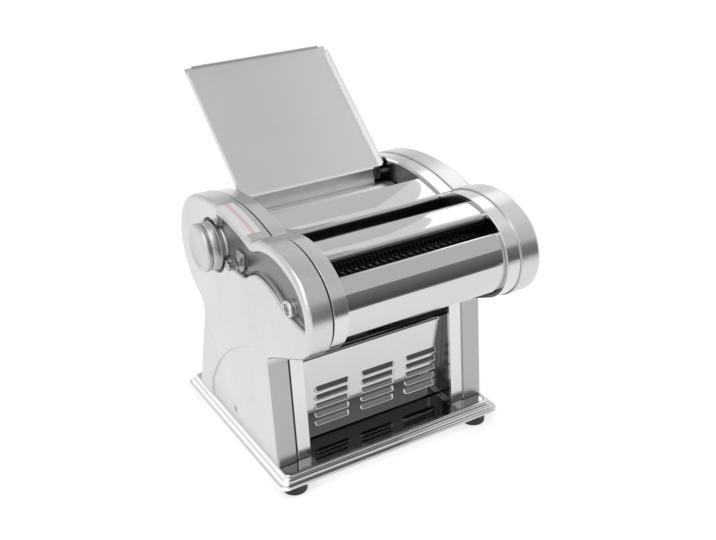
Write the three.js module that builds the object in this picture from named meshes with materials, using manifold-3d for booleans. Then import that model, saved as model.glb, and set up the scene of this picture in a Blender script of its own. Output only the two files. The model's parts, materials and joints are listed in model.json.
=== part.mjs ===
import * as THREE from 'three';
import { mergeVertices } from 'three/addons/utils/BufferGeometryUtils.js';
import Module from 'manifold-3d';

// Household electric pasta maker. Sizes are in millimetres.
// X runs along the rollers, Y from the front edge of the base to the back, Z up.
// Heights are counted from the underside of the base lip; the feet reach below it.

const wasm = await Module();
wasm.setup();

// Base, feet and bottom plate.
const baseWidth = 236;
const baseDepth = 211;
const lipHeight = 3.6;
const shoulderInset = 3.2;
const shoulderHeight = 7.2;
const plateauInsetX = 7.1;
const plateauInsetY = 5.6;
const plateauHeight = 11;
const panCornerRadius = 8;
const panEdgeRound = 1.1;
const panThickness = 1.6;
const bottomPlateThickness = 1.2;
const bottomPlateClearance = 0.4;
const footHeight = 12;
const footTopRadius = 12.5;
const footBottomRadius = 10.5;
const footInsetX = 20;
const footFrontInset = 15;
const footRecessRadius = 5.4;
const footRecessDepth = 4;

// Housing outline, in the Y-Z plane.
const noseY = -12;
const noseZ = 184;
const noseRadius = 40;
const chinAngle = THREE.MathUtils.degToRad(244.5);
const noseBlendAngle = THREE.MathUtils.degToRad(120);
const frontCrownRadius = 78;
const saddleRadius = 6;
const rearCrownRadius = 200;
const rearBlendAngle = THREE.MathUtils.degToRad(74);
const rearNoseY = 146;
const rearNoseZ = 169;
const rearNoseRadius = 54;
const heelRadius = 16;
const legFrontBottomY = 21.5;
const legFrontLean = 0.075;
const throatRadius = 5;
const legRearBottomY = 188;
const legRearLean = -0.3;

// Side plates and covers, counted from the middle of the machine.
const innerFaceX = 76.8;
const plateWall = 2.6;
const plateDepth = 12.8;
const rimThickness = 1.8;
const seamGap = 0.5;
const coverSwell = 1.2;
const coverDepth = 22;
const coverWall = 2.4;
const coverEdgeRound = 7.6;
const coverEdgeSteps = 3;
const lipInset = 8;
const troughDepth = 5;
const archDepth = 1.8;
const archSteps = 14;
const archShares = [[0.838, -0.1], [0.825, 0.069], [0.79, 0.15], [0.676, 0.3], [0.544, 0.422],
  [0.406, 0.514], [0.267, 0.59], [0.177, 0.622], [0.039, 0.653], [-0.07, 0.66]];
const troughStartAngle = THREE.MathUtils.degToRad(188);
const troughEndY = 108;
const bellyEdgeSteps = 20;
const bellyEdgeShares = [[0.801, -0.1], [0.72, -0.175], [0.625, -0.2], [0.53, -0.125],
  [0.449, 0.125], [0.368, 0.238], [0.279, 0.25], [0.176, 0.19], [0.088, 0.075], [0, -0.05],
  [-0.132, -0.1]];
const bellyPocketInset = 12;
const bellyPocketTopZ = 160;
const rightBossDrop = 26;
const coverScrewSink = 0.4;
const postRadius = 4.6;
const screwReach = 9;
const shaftHoleClearance = 0.6;
const bossY = -15;
const bossZ = 186;
const bossRadius = 7.4;
const coverScrewRadius = 4.4;
const coverScrewHeadHeight = 2.2;
const coverScrewClearance = 0.2;
const lowerScrewY = 107;
const lowerScrewZ = 24;
const lowerScrewRadius = 2.6;
const lowerScrewHeadHeight = 1.2;
const screwShankRadius = 1.9;
const screwSlotWidth = 0.9;
const screwSlotDepth = 0.8;
const screwShankGap = 0.3;

// Sheet metal between the side plates.
const sheetThickness = 1.2;
const bandInset = 3;
const guardRearY = 78;
const guardFrontY = 49;
const guardWallDrop = 21;
const guardWallLean = 3.5;
const guardBendRadius = 2.5;
const bandTwoRearY = 7;
const bandTwoFrontY = -22;
const bandTwoRearDrop = 12;
const bandTwoFrontDrop = 4;
const bandTwoLean = 1.5;
const shieldTopAngle = THREE.MathUtils.degToRad(132);
const shieldBottomAngle = THREE.MathUtils.degToRad(222);
const shieldInset = 3.4;
const shieldTopCurl = 3;
const shieldNotchRadius = 4;
const rearGuardLip = 9;
const chuteGap = 2;
const rearGuardTopAngle = THREE.MathUtils.degToRad(86);
const rearGuardBottomAngle = THREE.MathUtils.degToRad(-58);
const ventTopY = 37;
const ventTopZ = 100;
const ventBottomY = 45;
const ventFlangeDepth = 10;
const ventFlangeRise = 3.5;
const ventFootFlange = 9;
const louvreRows = 5;
const louvrePitch = 9.4;
const louvreFirstUp = 16.5;
const louvreGroupOffset = 48.6;
const louvreMiddleX = 5.2;
const louvreLength = 38;
const louvreRadius = 3.7;
const louvreWall = 0.9;
const louvreCapSteps = 1;
const louvreSides = 6;
const louvreOpenShare = 0.35;
const chuteRiseY = 96;
const chuteRiseZ = 146;
const chuteEndY = 150;
const chuteEndZ = 152;
const rearPanelTopZ = 114;
const rearPanelInset = 5;
const rearSlotCount = 7;
const rearSlotPitch = 9;
const rearSlotWidth = 3;
const rearSlotHeight = 34;
const rearSlotRise = 46;

// Feed tray.
const trayCreaseY = 140;
const trayCreaseZ = 217.5;
const trayRunY = 108;
const trayRiseZ = 92.5;
const trayHalfWidth = 74.6;
const trayThickness = 1;
const trayFlangeHeight = 5;
const tongueHalfWidth = 65;
const tongueDrop = 15.5;
const tongueLean = 1.5;
const trayHemDepth = 2.4;
const trayNotch = 7;
const bracketGap = 0.6;
const bracketDepth = 7;
const bracketHeight = 12;

// Rollers, cutters, combs and scrapers.
const rollerDistance = 40;
const rearRollerY = 124;
const rollerZ = 187;
const rollerRadius = 19.5;
const rollerEndGap = 1.2;
const rollerSides = 32;
const journalRadius = 5;
const journalClearance = 0.25;
const journalLeftReach = 2.2;
const cutterDistance = 20;
const ringRadius = 10.8;
const coreRadius = 8.8;
const cutterSides = 10;
const cutterJournalRadius = 4;
const fineRearY = 30;
const fineZ = 192;
const wideRearY = -15.5;
const wideRearZ = 193;
const widePairTilt = THREE.MathUtils.degToRad(200);
const finePitch = 8;
const widePitch = 13;
const cutterShare = 0.25;
const ringSideClearance = 0.35;
const combThickness = 1.2;
const combBarDepth = 5;
const combReach = 1.6;
const combFingerClearance = 0.5;
const combCoreClearance = 0.6;
const scraperDepth = 12;
const scraperThickness = 1.6;
const scraperClearance = 0.6;
const scraperAngle = THREE.MathUtils.degToRad(-62);
const combRearAngle = THREE.MathUtils.degToRad(-50);
const combFrontAngle = THREE.MathUtils.degToRad(-130);
const combOuterAngle = THREE.MathUtils.degToRad(-110);
const tieRodTop = [56, 203];
const tieRodRear = [165, 140];
const tieRodLow = [72, 104];
const tieRodRadius = 4;
const tieRodSides = 14;

// Gear train inside the right housing.
const rollerTeeth = 24;
const gearModule = rollerDistance / rollerTeeth;
const cutterTeeth = Math.round(cutterDistance / gearModule);
const linkTeeth = 16;
const bridgeTeeth = 11;
const transferTeeth = 36;
const pinionTeeth = 12;
const gearWidth = 7;
const gearStandoff = 2.4;
const toothBacklash = 0.5;
const addendumShare = 0.85;
const dedendumShare = 1.2;
const pressureAngle = THREE.MathUtils.degToRad(20);
const gearEndWall = 1.5;
const boreClearance = 0.2;
const collarWall = 2.2;
const transferLeanY = 5;
const pinionLeanY = 9;
const studRadius = 4;
const studRunGap = 0.3;
const studProud = 0.8;

// Motor and gearbox.
const motorRadius = 33;
const motorLength = 78;
const motorEndCapRadius = 30;
const motorEndCapLength = 8;
const motorY = 110;
const motorZ = 58;
const motorSides = 28;
const gearboxWidth = 26;
const gearboxMargin = 14;
const outputShaftRadius = 5;
const motorFootSpan = 44;
const motorFootInset = 10;

// Thickness knob and index plunger, on the left cover.
const knobRadius = 22;
const knobCollarRadius = 20.6;
const knobGrooveRadius = 19;
const knobFaceRadius = 21;
const knobStandoff = 0.4;
const knobCollarLength = 3;
const knobGripLength = 11;
const knobGrooveLength = 1.4;
const knobCapLength = 4.5;
const knobSocketDepth = 10;
const knobBushProud = 6;
const knobRibs = 20;
const knobRibDepth = 0.7;
const knobDishDepth = 0.8;
const knobDishRadius = 13.5;
const knobShaftRadius = 6;
const knobBushRadius = 8.5;
const knobPocketRadius = 24.5;
const plungerY = 73;
const plungerZ = 189;
const plungerRadius = 5;
const plungerTipRadius = 3.6;
const plungerLength = 9;
const plungerTravel = 3;
const plungerCollarRadius = 7;
const plungerCollarHeight = 2.2;
const indexTabWidth = 14;
const indexTabRise = 11;
const plungerStemRadius = 2;
const plungerStemLength = 8;

// Switch and cable gland on the rear panel.
const switchWidth = 21;
const switchHeight = 15;
const switchBezel = 2;
const switchDepth = 14;
const switchX = 46;
const switchUp = 30;
const switchBezelProud = 2;
const switchCutoutGap = 0.2;
const rockerDepth = 6;
const rockerHalfHeight = 5;
const rockerThickness = 3;
const rockerDish = 1.2;
const rockerProud = 2.2;
const rockerGap = 0.4;
const rockerAngle = THREE.MathUtils.degToRad(7);
const glandRadius = 8;
const glandNeckRadius = 5.5;
const glandFlange = 3;
const glandGap = 0.2;
const glandBoreRadius = 3.2;
const glandLength = 9;
const glandX = -46;
const glandUp = 30;

const arcSteps = 6;
const smallArcSteps = 4;
const quarterTurn = Math.PI / 2;

// Helpers for shapes and solids.

const machineAxes = new THREE.Matrix4().makeBasis(
  new THREE.Vector3(0, 1, 0),
  new THREE.Vector3(0, 0, 1),
  new THREE.Vector3(1, 0, 0),
);

function point(y, z) {
  return new THREE.Vector2(y, z);
}

function polar(centre, radius, angle) {
  return point(centre.x + radius * Math.cos(angle), centre.y + radius * Math.sin(angle));
}

function directionAngle(from, to) {
  return Math.atan2(to.y - from.y, to.x - from.x);
}

function arcPoints(centre, radius, from, to, steps = arcSteps) {
  const points = [];
  for (let step = 0; step <= steps; step += 1) {
    points.push(polar(centre, radius, from + (to - from) * (step / steps)));
  }
  return points;
}

// Point where two circles meet; side picks the one left (+1) or right (-1) of the centre line.
function circleMeeting(first, firstRadius, second, secondRadius, side) {
  const span = first.distanceTo(second);
  const along = (firstRadius ** 2 - secondRadius ** 2 + span ** 2) / (span + span);
  const aside = Math.sqrt(firstRadius ** 2 - along ** 2);
  const axis = second.clone().sub(first).normalize();
  const normal = point(-axis.y, axis.x);
  return first.clone().addScaledVector(axis, along).addScaledVector(normal, side * aside);
}

function shapeThrough(points) {
  const tidy = points.filter((spot, index) => {
    const before = points[(index + points.length - 1) % points.length];
    return spot.distanceTo(before) > mergeDistance;
  });
  return new THREE.Shape(tidy);
}
const mergeDistance = 0.01;

// Closed outline of a bent sheet whose middle line runs through the points.
function sheetShape(points, thickness) {
  const leftSide = [];
  const rightSide = [];
  points.forEach((spot, index) => {
    const before = points[Math.max(index - 1, 0)];
    const after = points[Math.min(index + 1, points.length - 1)];
    const entering = spot.clone().sub(before).normalize();
    const leaving = after.clone().sub(spot).normalize();
    if (index === 0) entering.copy(leaving);
    if (index === points.length - 1) leaving.copy(entering);
    const middle = entering.clone().add(leaving).normalize();
    const normal = point(-middle.y, middle.x);
    const reach = thickness / (normal.dot(point(-entering.y, entering.x)) + 1);
    leftSide.push(spot.clone().addScaledVector(normal, reach));
    rightSide.push(spot.clone().addScaledVector(normal, -reach));
  });
  return shapeThrough([...leftSide, ...rightSide.reverse()]);
}

function extrudeAlongX(shape, start, end, bevel = {}) {
  const geometry = new THREE.ExtrudeGeometry(shape, {
    depth: end - start,
    bevelEnabled: false,
    curveSegments: arcSteps,
    ...bevel,
  });
  geometry.applyMatrix4(machineAxes);
  geometry.translate(start, 0, 0);
  return geometry;
}

function extrudeUp(shape, start, end) {
  const geometry = new THREE.ExtrudeGeometry(shape, {
    depth: end - start,
    bevelEnabled: false,
    curveSegments: smallArcSteps,
  });
  geometry.translate(0, 0, start);
  return geometry;
}

function cylinderAlongX(radius, start, end, centre, sides = rollerSides, endRadius = radius) {
  const geometry = new THREE.CylinderGeometry(radius, endRadius, end - start, sides);
  geometry.rotateZ(quarterTurn);
  geometry.translate((start + end) / 2, centre.x, centre.y);
  return geometry;
}

function cylinderUp(bottomRadius, topRadius, bottom, top, x, y, sides = tieRodSides) {
  const geometry = new THREE.CylinderGeometry(topRadius, bottomRadius, top - bottom, sides);
  geometry.rotateX(quarterTurn);
  geometry.translate(x, y, (bottom + top) / 2);
  return geometry;
}

function block(startX, endX, startY, endY, startZ, endZ) {
  const geometry = new THREE.BoxGeometry(endX - startX, endY - startY, endZ - startZ);
  geometry.translate((startX + endX) / 2, (startY + endY) / 2, (startZ + endZ) / 2);
  return geometry;
}

function roundedRectangle(startX, endX, startY, endY, radius) {
  const shape = new THREE.Shape();
  shape.absarc(endX - radius, endY - radius, radius, 0, quarterTurn);
  shape.absarc(startX + radius, endY - radius, radius, quarterTurn, Math.PI);
  shape.absarc(startX + radius, startY + radius, radius, Math.PI, Math.PI + quarterTurn);
  shape.absarc(endX - radius, startY + radius, radius, Math.PI + quarterTurn, Math.PI * 2);
  return shapeThrough(shape.getPoints(smallArcSteps));
}

function solid(geometry) {
  const plain = geometry.clone();
  plain.deleteAttribute('normal');
  plain.deleteAttribute('uv');
  const merged = mergeVertices(plain, weldDistance);
  return new wasm.Manifold(new wasm.Mesh({
    numProp: 3,
    vertProperties: new Float32Array(merged.attributes.position.array),
    triVerts: new Uint32Array(merged.index.array),
  }));
}
const weldDistance = 1e-4;

function joined(geometries) {
  return geometries.map(solid).reduce((whole, piece) => whole.add(piece));
}

function cutAway(body, geometries) {
  return geometries.map(solid).reduce((whole, piece) => whole.subtract(piece), body);
}

function geometryOf(body) {
  const mesh = body.getMesh();
  const geometry = new THREE.BufferGeometry();
  geometry.setAttribute('position', new THREE.BufferAttribute(mesh.vertProperties, mesh.numProp));
  geometry.setIndex(new THREE.BufferAttribute(mesh.triVerts, 1));
  geometry.computeVertexNormals();
  return geometry;
}

// Materials.

function polishedSteel() {
  return new THREE.MeshStandardMaterial({ color: 0xc9cbcd, roughness: 0.12, metalness: 1 });
}

function satinSteel() {
  return new THREE.MeshStandardMaterial({ color: 0xb9babc, roughness: 0.38, metalness: 1 });
}

function gearSteel() {
  return new THREE.MeshStandardMaterial({ color: 0x8d9094, roughness: 0.4, metalness: 0.9 });
}

function blackRubber() {
  return new THREE.MeshStandardMaterial({ color: 0x151516, roughness: 0.85, metalness: 0 });
}

function blackPlastic() {
  return new THREE.MeshStandardMaterial({ color: 0x1c1d1f, roughness: 0.5, metalness: 0 });
}

function satinAluminium() {
  return new THREE.MeshStandardMaterial({ color: 0xc4c5c6, roughness: 0.33, metalness: 0.85 });
}

const machine = new THREE.Group();
machine.name = 'machine';

function place(name, shape, material, parent = machine) {
  const geometry = shape.isBufferGeometry ? shape : geometryOf(shape);
  const mesh = new THREE.Mesh(geometry, material);
  mesh.name = name;
  parent.add(mesh);
  return mesh;
}

// Housing outline.

const noseCentre = point(noseY, noseZ);
const rearNoseCentre = point(rearNoseY, rearNoseZ);
const frontCrownCentre = polar(noseCentre, noseRadius - frontCrownRadius, noseBlendAngle);
const rearCrownCentre = polar(rearNoseCentre, rearNoseRadius - rearCrownRadius, rearBlendAngle);
const saddleCentre = circleMeeting(
  frontCrownCentre,
  frontCrownRadius + saddleRadius,
  rearCrownCentre,
  rearCrownRadius + saddleRadius,
  1,
);
const chinNormal = point(Math.cos(chinAngle), Math.sin(chinAngle));
const legFrontNormal = point(-1, legFrontLean).normalize();
const legRearNormal = point(1, -legRearLean).normalize();
const legFrontBottom = point(legFrontBottomY, plateauHeight);
const legRearBottom = point(legRearBottomY, plateauHeight);

// Centre of the arc in the angle under the chin, clear of both lines by its radius.
function throatCentre() {
  const chinReach = chinNormal.dot(noseCentre) + noseRadius + throatRadius;
  const legReach = legFrontNormal.dot(legFrontBottom) + throatRadius;
  const determinant = chinNormal.x * legFrontNormal.y - chinNormal.y * legFrontNormal.x;
  return point(
    (chinReach * legFrontNormal.y - chinNormal.y * legReach) / determinant,
    (chinNormal.x * legReach - chinReach * legFrontNormal.x) / determinant,
  );
}

// Centre of the arc that leads from the rear nose into the back edge of the leg.
function heelCentre() {
  const along = point(-legRearNormal.y, legRearNormal.x);
  const start = legRearBottom.clone().addScaledVector(legRearNormal, heelRadius);
  const away = start.clone().sub(rearNoseCentre);
  const half = away.dot(along);
  const rest = away.lengthSq() - (rearNoseRadius + heelRadius) ** 2;
  return start.addScaledVector(along, -half - Math.sqrt(half ** 2 - rest));
}

const throat = throatCentre();
const heel = heelCentre();

function legPoint(bottom, normal, inset, height) {
  const edge = bottom.clone().addScaledVector(normal, -inset);
  const along = point(-normal.y, normal.x);
  return edge.addScaledVector(along, (height - edge.y) / along.y);
}

function upperOutline(inset) {
  const saddleFromFront = directionAngle(frontCrownCentre, saddleCentre);
  const saddleFromRear = directionAngle(rearCrownCentre, saddleCentre);
  return [
    ...arcPoints(noseCentre, noseRadius - inset, chinAngle, noseBlendAngle, arcSteps + arcSteps),
    ...arcPoints(frontCrownCentre, frontCrownRadius - inset, noseBlendAngle, saddleFromFront),
    ...arcPoints(saddleCentre, saddleRadius + inset, saddleFromFront - Math.PI,
      saddleFromRear - Math.PI, smallArcSteps),
    ...arcPoints(rearCrownCentre, rearCrownRadius - inset, saddleFromRear, rearBlendAngle),
  ];
}

function housingOutline(inset, floorHeight = plateauHeight) {
  const heelFromNose = directionAngle(rearNoseCentre, heel);
  const legTurn = Math.atan2(-legRearNormal.y, -legRearNormal.x) + Math.PI * 2;
  return shapeThrough([
    legPoint(legFrontBottom, legFrontNormal, inset, floorHeight),
    ...arcPoints(throat, throatRadius + inset, Math.atan2(-legFrontNormal.y, -legFrontNormal.x),
      chinAngle - Math.PI, smallArcSteps),
    ...upperOutline(inset),
    ...arcPoints(rearNoseCentre, rearNoseRadius - inset, rearBlendAngle, heelFromNose,
      arcSteps + arcSteps),
    ...arcPoints(heel, heelRadius + inset, heelFromNose + Math.PI, legTurn, smallArcSteps),
    legPoint(legRearBottom, legRearNormal, inset, floorHeight),
  ]);
}

// Positions shared by several pieces.

const seamX = innerFaceX + plateDepth;
const coverStartX = seamX + seamGap;
const coverFaceX = seamX + coverDepth;
const troughX = coverFaceX - troughDepth;
const plateOuterX = innerFaceX + plateWall;
const rearRoller = point(rearRollerY, rollerZ);
const frontRoller = point(rearRollerY - rollerDistance, rollerZ);
const fineRear = point(fineRearY, fineZ);
const fineFront = point(fineRearY - cutterDistance, fineZ);
const wideRear = point(wideRearY, wideRearZ);
const wideFront = polar(wideRear, cutterDistance, widePairTilt);
const plungerCentre = point(plungerY, plungerZ);
const gearStartX = plateOuterX + gearStandoff;
const gearEndX = gearStartX + gearWidth;

function pitchRadius(teeth) {
  return gearModule * teeth / 2;
}

const linkGear = circleMeeting(
  frontRoller,
  pitchRadius(rollerTeeth + linkTeeth),
  fineRear,
  pitchRadius(cutterTeeth + linkTeeth),
  1,
);
const bridgeGear = circleMeeting(
  fineFront,
  pitchRadius(cutterTeeth + bridgeTeeth),
  wideRear,
  pitchRadius(cutterTeeth + bridgeTeeth),
  1,
);

function below(centre, distance, shift) {
  return point(centre.x + shift, centre.y - Math.sqrt(distance ** 2 - shift ** 2));
}

const transferGear = below(frontRoller, pitchRadius(rollerTeeth + transferTeeth), transferLeanY);
const pinionGear = below(transferGear, pitchRadius(transferTeeth + pinionTeeth), pinionLeanY);

// Base.

function panOutline(insetX, insetY, radius) {
  const half = baseWidth / 2;
  return roundedRectangle(insetX - half, half - insetX, insetY, baseDepth - insetY, radius);
}

function basePan() {
  const stepInsetX = plateauInsetX - shoulderInset;
  const stepInsetY = plateauInsetY - shoulderInset;
  const outside = joined([
    extrudeUp(panOutline(0, 0, panCornerRadius), 0, lipHeight - panEdgeRound),
    extrudeUp(panOutline(panEdgeRound, panEdgeRound, panCornerRadius), 0, lipHeight),
    extrudeUp(panOutline(stepInsetX, stepInsetY, panCornerRadius), 0, shoulderHeight),
    extrudeUp(panOutline(plateauInsetX - panEdgeRound, plateauInsetY - panEdgeRound,
      panCornerRadius), 0, plateauHeight - panEdgeRound),
    extrudeUp(panOutline(plateauInsetX, plateauInsetY, panCornerRadius), 0, plateauHeight),
  ]);
  return cutAway(outside, [
    extrudeUp(panOutline(panThickness, panThickness, panCornerRadius), -lipHeight,
      lipHeight - panThickness),
    extrudeUp(panOutline(plateauInsetX + panThickness, plateauInsetY + panThickness,
      panCornerRadius), 0, plateauHeight - panThickness),
  ]);
}

const bottomPlateTop = lipHeight - panThickness;
const bottomPlateBottom = bottomPlateTop - bottomPlateThickness;

function bottomPlate() {
  const inset = panThickness + bottomPlateClearance;
  return solid(extrudeUp(panOutline(inset, inset, panCornerRadius), bottomPlateBottom,
    bottomPlateTop));
}

const footSpots = [
  { name: 'front_left', x: footInsetX - baseWidth / 2, y: footFrontInset },
  { name: 'front_right', x: baseWidth / 2 - footInsetX, y: footFrontInset },
  { name: 'rear_left', x: footInsetX - baseWidth / 2, y: baseDepth - footFrontInset },
  { name: 'rear_right', x: baseWidth / 2 - footInsetX, y: baseDepth - footFrontInset },
];
const footSeatZ = footRecessDepth - footHeight;

function foot(spot) {
  const body = solid(cylinderUp(footBottomRadius, footTopRadius, -footHeight, bottomPlateBottom,
    spot.x, spot.y));
  return cutAway(body, [
    cylinderUp(footRecessRadius, footRecessRadius, -footHeight - footRecessDepth, footSeatZ,
      spot.x, spot.y),
  ]);
}

place('base_pan', basePan(), polishedSteel());
place('bottom_plate', bottomPlate(), satinSteel());
for (const spot of footSpots) {
  place(`foot_${spot.name}`, foot(spot), blackRubber());
}

// Side plates and covers; side is -1 for the left and +1 for the right.

function spanOn(side, from, to) {
  return side > 0 ? [from, to] : [-to, -from];
}

function prismOn(side, shape, from, to) {
  return extrudeAlongX(shape, ...spanOn(side, from, to));
}

function discOn(side, radius, from, to, centre, sides) {
  return cylinderAlongX(radius, ...spanOn(side, from, to), centre, sides);
}

const turningShafts = [
  { centre: frontRoller, radius: journalRadius },
  { centre: fineRear, radius: cutterJournalRadius },
  { centre: fineFront, radius: cutterJournalRadius },
  { centre: wideRear, radius: cutterJournalRadius },
  { centre: wideFront, radius: cutterJournalRadius },
];

function sidePlate(side) {
  const dish = solid(prismOn(side, housingOutline(0), innerFaceX, seamX));
  const bores = turningShafts.map(({ centre, radius }) => (
    discOn(side, radius + journalClearance, 0, seamX, centre, tieRodSides)
  ));
  const rearBore = side < 0 ? knobBushRadius : journalRadius;
  bores.push(discOn(side, rearBore + journalClearance, 0, seamX, rearRoller, rollerSides));
  if (side > 0) {
    bores.push(discOn(side, outputShaftRadius + journalClearance, 0, seamX, pinionGear,
      tieRodSides));
  }
  return cutAway(dish, [
    prismOn(side, housingOutline(rimThickness, plateauHeight + rimThickness), plateOuterX,
      coverFaceX),
    ...bores,
  ]);
}

// Rounded outside of a cover: it swells a little past the plate and rounds off to the lip.
function coverOutside(side) {
  const shape = housingOutline(coverEdgeRound - coverSwell);
  const geometry = extrudeAlongX(shape, coverEdgeRound - coverFaceX, coverFaceX - coverEdgeRound, {
    bevelEnabled: true,
    bevelThickness: coverEdgeRound,
    bevelSize: coverEdgeRound,
    bevelSegments: coverEdgeSteps,
  });
  const keep = block(...spanOn(side, coverStartX, coverFaceX + coverDepth), -baseDepth,
    baseDepth + baseDepth, plateauHeight, baseDepth + baseDepth);
  return solid(geometry).intersect(solid(keep));
}

// Edge of the belly, given as shares of the way to the knob and of the nose radius.
function bellyEdge() {
  const reach = rearRoller.x - noseCentre.x;
  const spots = bellyEdgeShares.map(([along, up]) => (
    point(noseCentre.x + along * reach, noseCentre.y + up * noseRadius)
  ));
  const start = polar(noseCentre, noseRadius - lipInset, troughStartAngle);
  return new THREE.SplineCurve([...spots, start]).getPoints(bellyEdgeSteps);
}

// Sunken band between the lip and the belly, ending in the round pocket of the knob.
function trough(side, bossCentre) {
  const saddleFromFront = directionAngle(frontCrownCentre, saddleCentre);
  const saddleFromRear = directionAngle(rearCrownCentre, saddleCentre);
  const bandEnd = directionAngle(rearCrownCentre, point(troughEndY, rearRoller.y + knobRadius));
  const outline = shapeThrough([
    ...arcPoints(noseCentre, noseRadius - lipInset, troughStartAngle, noseBlendAngle),
    ...arcPoints(frontCrownCentre, frontCrownRadius - lipInset, noseBlendAngle, saddleFromFront),
    ...arcPoints(saddleCentre, saddleRadius + lipInset, saddleFromFront - Math.PI,
      saddleFromRear - Math.PI, smallArcSteps),
    ...arcPoints(rearCrownCentre, rearCrownRadius - lipInset, saddleFromRear, bandEnd),
    rearRoller,
    ...bellyEdge(),
  ]);
  const band = solid(prismOn(side, outline, troughX, coverFaceX + coverDepth));
  const boss = discOn(side, bossRadius, 0, coverFaceX + coverDepth, bossCentre, tieRodSides);
  return cutAway(band, [boss]);
}

function knobPocket(side) {
  return discOn(side, knobPocketRadius, troughX, coverFaceX + coverDepth, rearRoller, rollerSides);
}

// Lower field of the leg, set back behind an arched step.
function archField(side) {
  const width = legRearBottomY - legFrontBottomY;
  const rise = noseZ - plateauHeight;
  const spots = archShares.map(([along, up]) => (
    point(legFrontBottomY + along * width, plateauHeight + up * rise)
  ));
  const arch = new THREE.SplineCurve(spots).getPoints(archSteps);
  const last = spots[spots.length - 1];
  const outline = shapeThrough([...arch, point(last.x, -plateauHeight),
    point(spots[0].x, -plateauHeight)]);
  return prismOn(side, outline, coverFaceX - archDepth, coverFaceX + coverDepth);
}

function screwSpots(side) {
  const drop = side > 0 ? rightBossDrop : 0;
  return {
    upper: point(bossY, bossZ - drop),
    lower: point(lowerScrewY, lowerScrewZ),
  };
}
const upperSeatX = coverFaceX - coverScrewSink - coverScrewHeadHeight;
const lowerSeatX = coverFaceX - archDepth - lowerScrewHeadHeight;
const coverCavityX = troughX - coverWall;
const bellyCavityX = coverFaceX - archDepth - coverWall - lowerScrewHeadHeight;

function cover(side) {
  const spots = screwSpots(side);
  const far = coverFaceX + coverDepth;
  const shank = screwShankRadius + screwShankGap;
  const bellyPocket = block(...spanOn(side, seamX, bellyCavityX), legFrontBottomY
    + bellyPocketInset, legRearBottomY - bellyPocketInset * 2, plateauHeight + coverWall,
    bellyPocketTopZ);
  const cuts = [
    prismOn(side, housingOutline(coverWall, plateauHeight + coverWall), seamX - coverWall,
      coverCavityX),
    bellyPocket,
    archField(side),
    discOn(side, coverScrewRadius + coverScrewClearance, upperSeatX, far, spots.upper,
      tieRodSides),
    discOn(side, shank, 0, far, spots.upper, tieRodSides),
    discOn(side, lowerScrewRadius + coverScrewClearance, lowerSeatX, far, spots.lower,
      tieRodSides),
    discOn(side, shank, 0, far, spots.lower, tieRodSides),
  ];
  cuts.push(knobPocket(side));
  if (side < 0) {
    cuts.push(discOn(side, knobShaftRadius + shaftHoleClearance, 0, far, rearRoller,
      tieRodSides));
    cuts.push(discOn(side, plungerStemRadius + journalClearance, 0, far, plungerCentre,
      tieRodSides));
  }
  return cutAway(coverOutside(side).subtract(trough(side, spots.upper)), cuts);
}

function sidePlateWithPosts(side) {
  const spots = screwSpots(side);
  const posts = [
    discOn(side, postRadius, plateOuterX, coverCavityX, spots.upper, tieRodSides),
    discOn(side, postRadius, plateOuterX, bellyCavityX, spots.lower, tieRodSides),
  ];
  if (side > 0) {
    for (const centre of [linkGear, bridgeGear, transferGear]) {
      posts.push(discOn(side, studRadius, innerFaceX, gearEndX + studProud, centre, tieRodSides));
    }
  }
  const whole = posts.map(solid).reduce((body, post) => body.add(post), sidePlate(side));
  const shank = screwShankRadius + screwShankGap;
  return cutAway(whole, [
    discOn(side, shank, plateOuterX, coverFaceX, spots.upper, tieRodSides),
    discOn(side, shank, plateOuterX, coverFaceX, spots.lower, tieRodSides),
  ]);
}

function slottedScrew(side, centre, headRadius, seatX, headHeight) {
  const top = seatX + headHeight;
  const body = joined([
    discOn(side, headRadius, seatX, top, centre, tieRodSides),
    discOn(side, screwShankRadius, seatX - screwReach, top, centre, tieRodSides),
  ]);
  return cutAway(body, [
    block(...spanOn(side, top - screwSlotDepth, top + headHeight), centre.x - headRadius * 2,
      centre.x + headRadius * 2, centre.y - screwSlotWidth / 2, centre.y + screwSlotWidth / 2),
  ]);
}

for (const { word, side } of [{ word: 'left', side: -1 }, { word: 'right', side: 1 }]) {
  const spots = screwSpots(side);
  place(`side_plate_${word}`, sidePlateWithPosts(side), polishedSteel());
  place(`cover_${word}`, cover(side), satinSteel());
  place(`cover_screw_${word}`, slottedScrew(side, spots.upper, coverScrewRadius, upperSeatX,
    coverScrewHeadHeight), polishedSteel());
  place(`leg_screw_${word}`, slottedScrew(side, spots.lower, lowerScrewRadius, lowerSeatX,
    lowerScrewHeadHeight), polishedSteel());
}

// Bent sheets between the side plates.

function betweenPlates(shape) {
  return extrudeAlongX(shape, -innerFaceX, innerFaceX);
}

function crownHeight(centre, radius, y) {
  return centre.y + Math.sqrt(radius ** 2 - (y - centre.x) ** 2);
}

function crownArc(centre, radius, startY, endY, steps = arcSteps) {
  const start = directionAngle(centre, point(startY, crownHeight(centre, radius, startY)));
  const end = directionAngle(centre, point(endY, crownHeight(centre, radius, endY)));
  return arcPoints(centre, radius, start, end, steps);
}

function rollerGuard() {
  const radius = rearCrownRadius - bandInset - sheetThickness / 2;
  const top = crownArc(rearCrownCentre, radius, guardRearY, guardFrontY, smallArcSteps);
  const bend = top[top.length - 1];
  const bendSpots = arcPoints(point(bend.x, bend.y - guardBendRadius), guardBendRadius, quarterTurn,
    Math.PI, smallArcSteps);
  const wallTop = bendSpots[bendSpots.length - 1];
  const line = [...top, ...bendSpots, point(wallTop.x + guardWallLean, wallTop.y - guardWallDrop)];
  return betweenPlates(sheetShape(withoutTwins(line), sheetThickness));
}

function withoutTwins(points) {
  return points.filter((spot, index) => (
    index === 0 || spot.distanceTo(points[index - 1]) > mergeDistance
  ));
}

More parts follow.
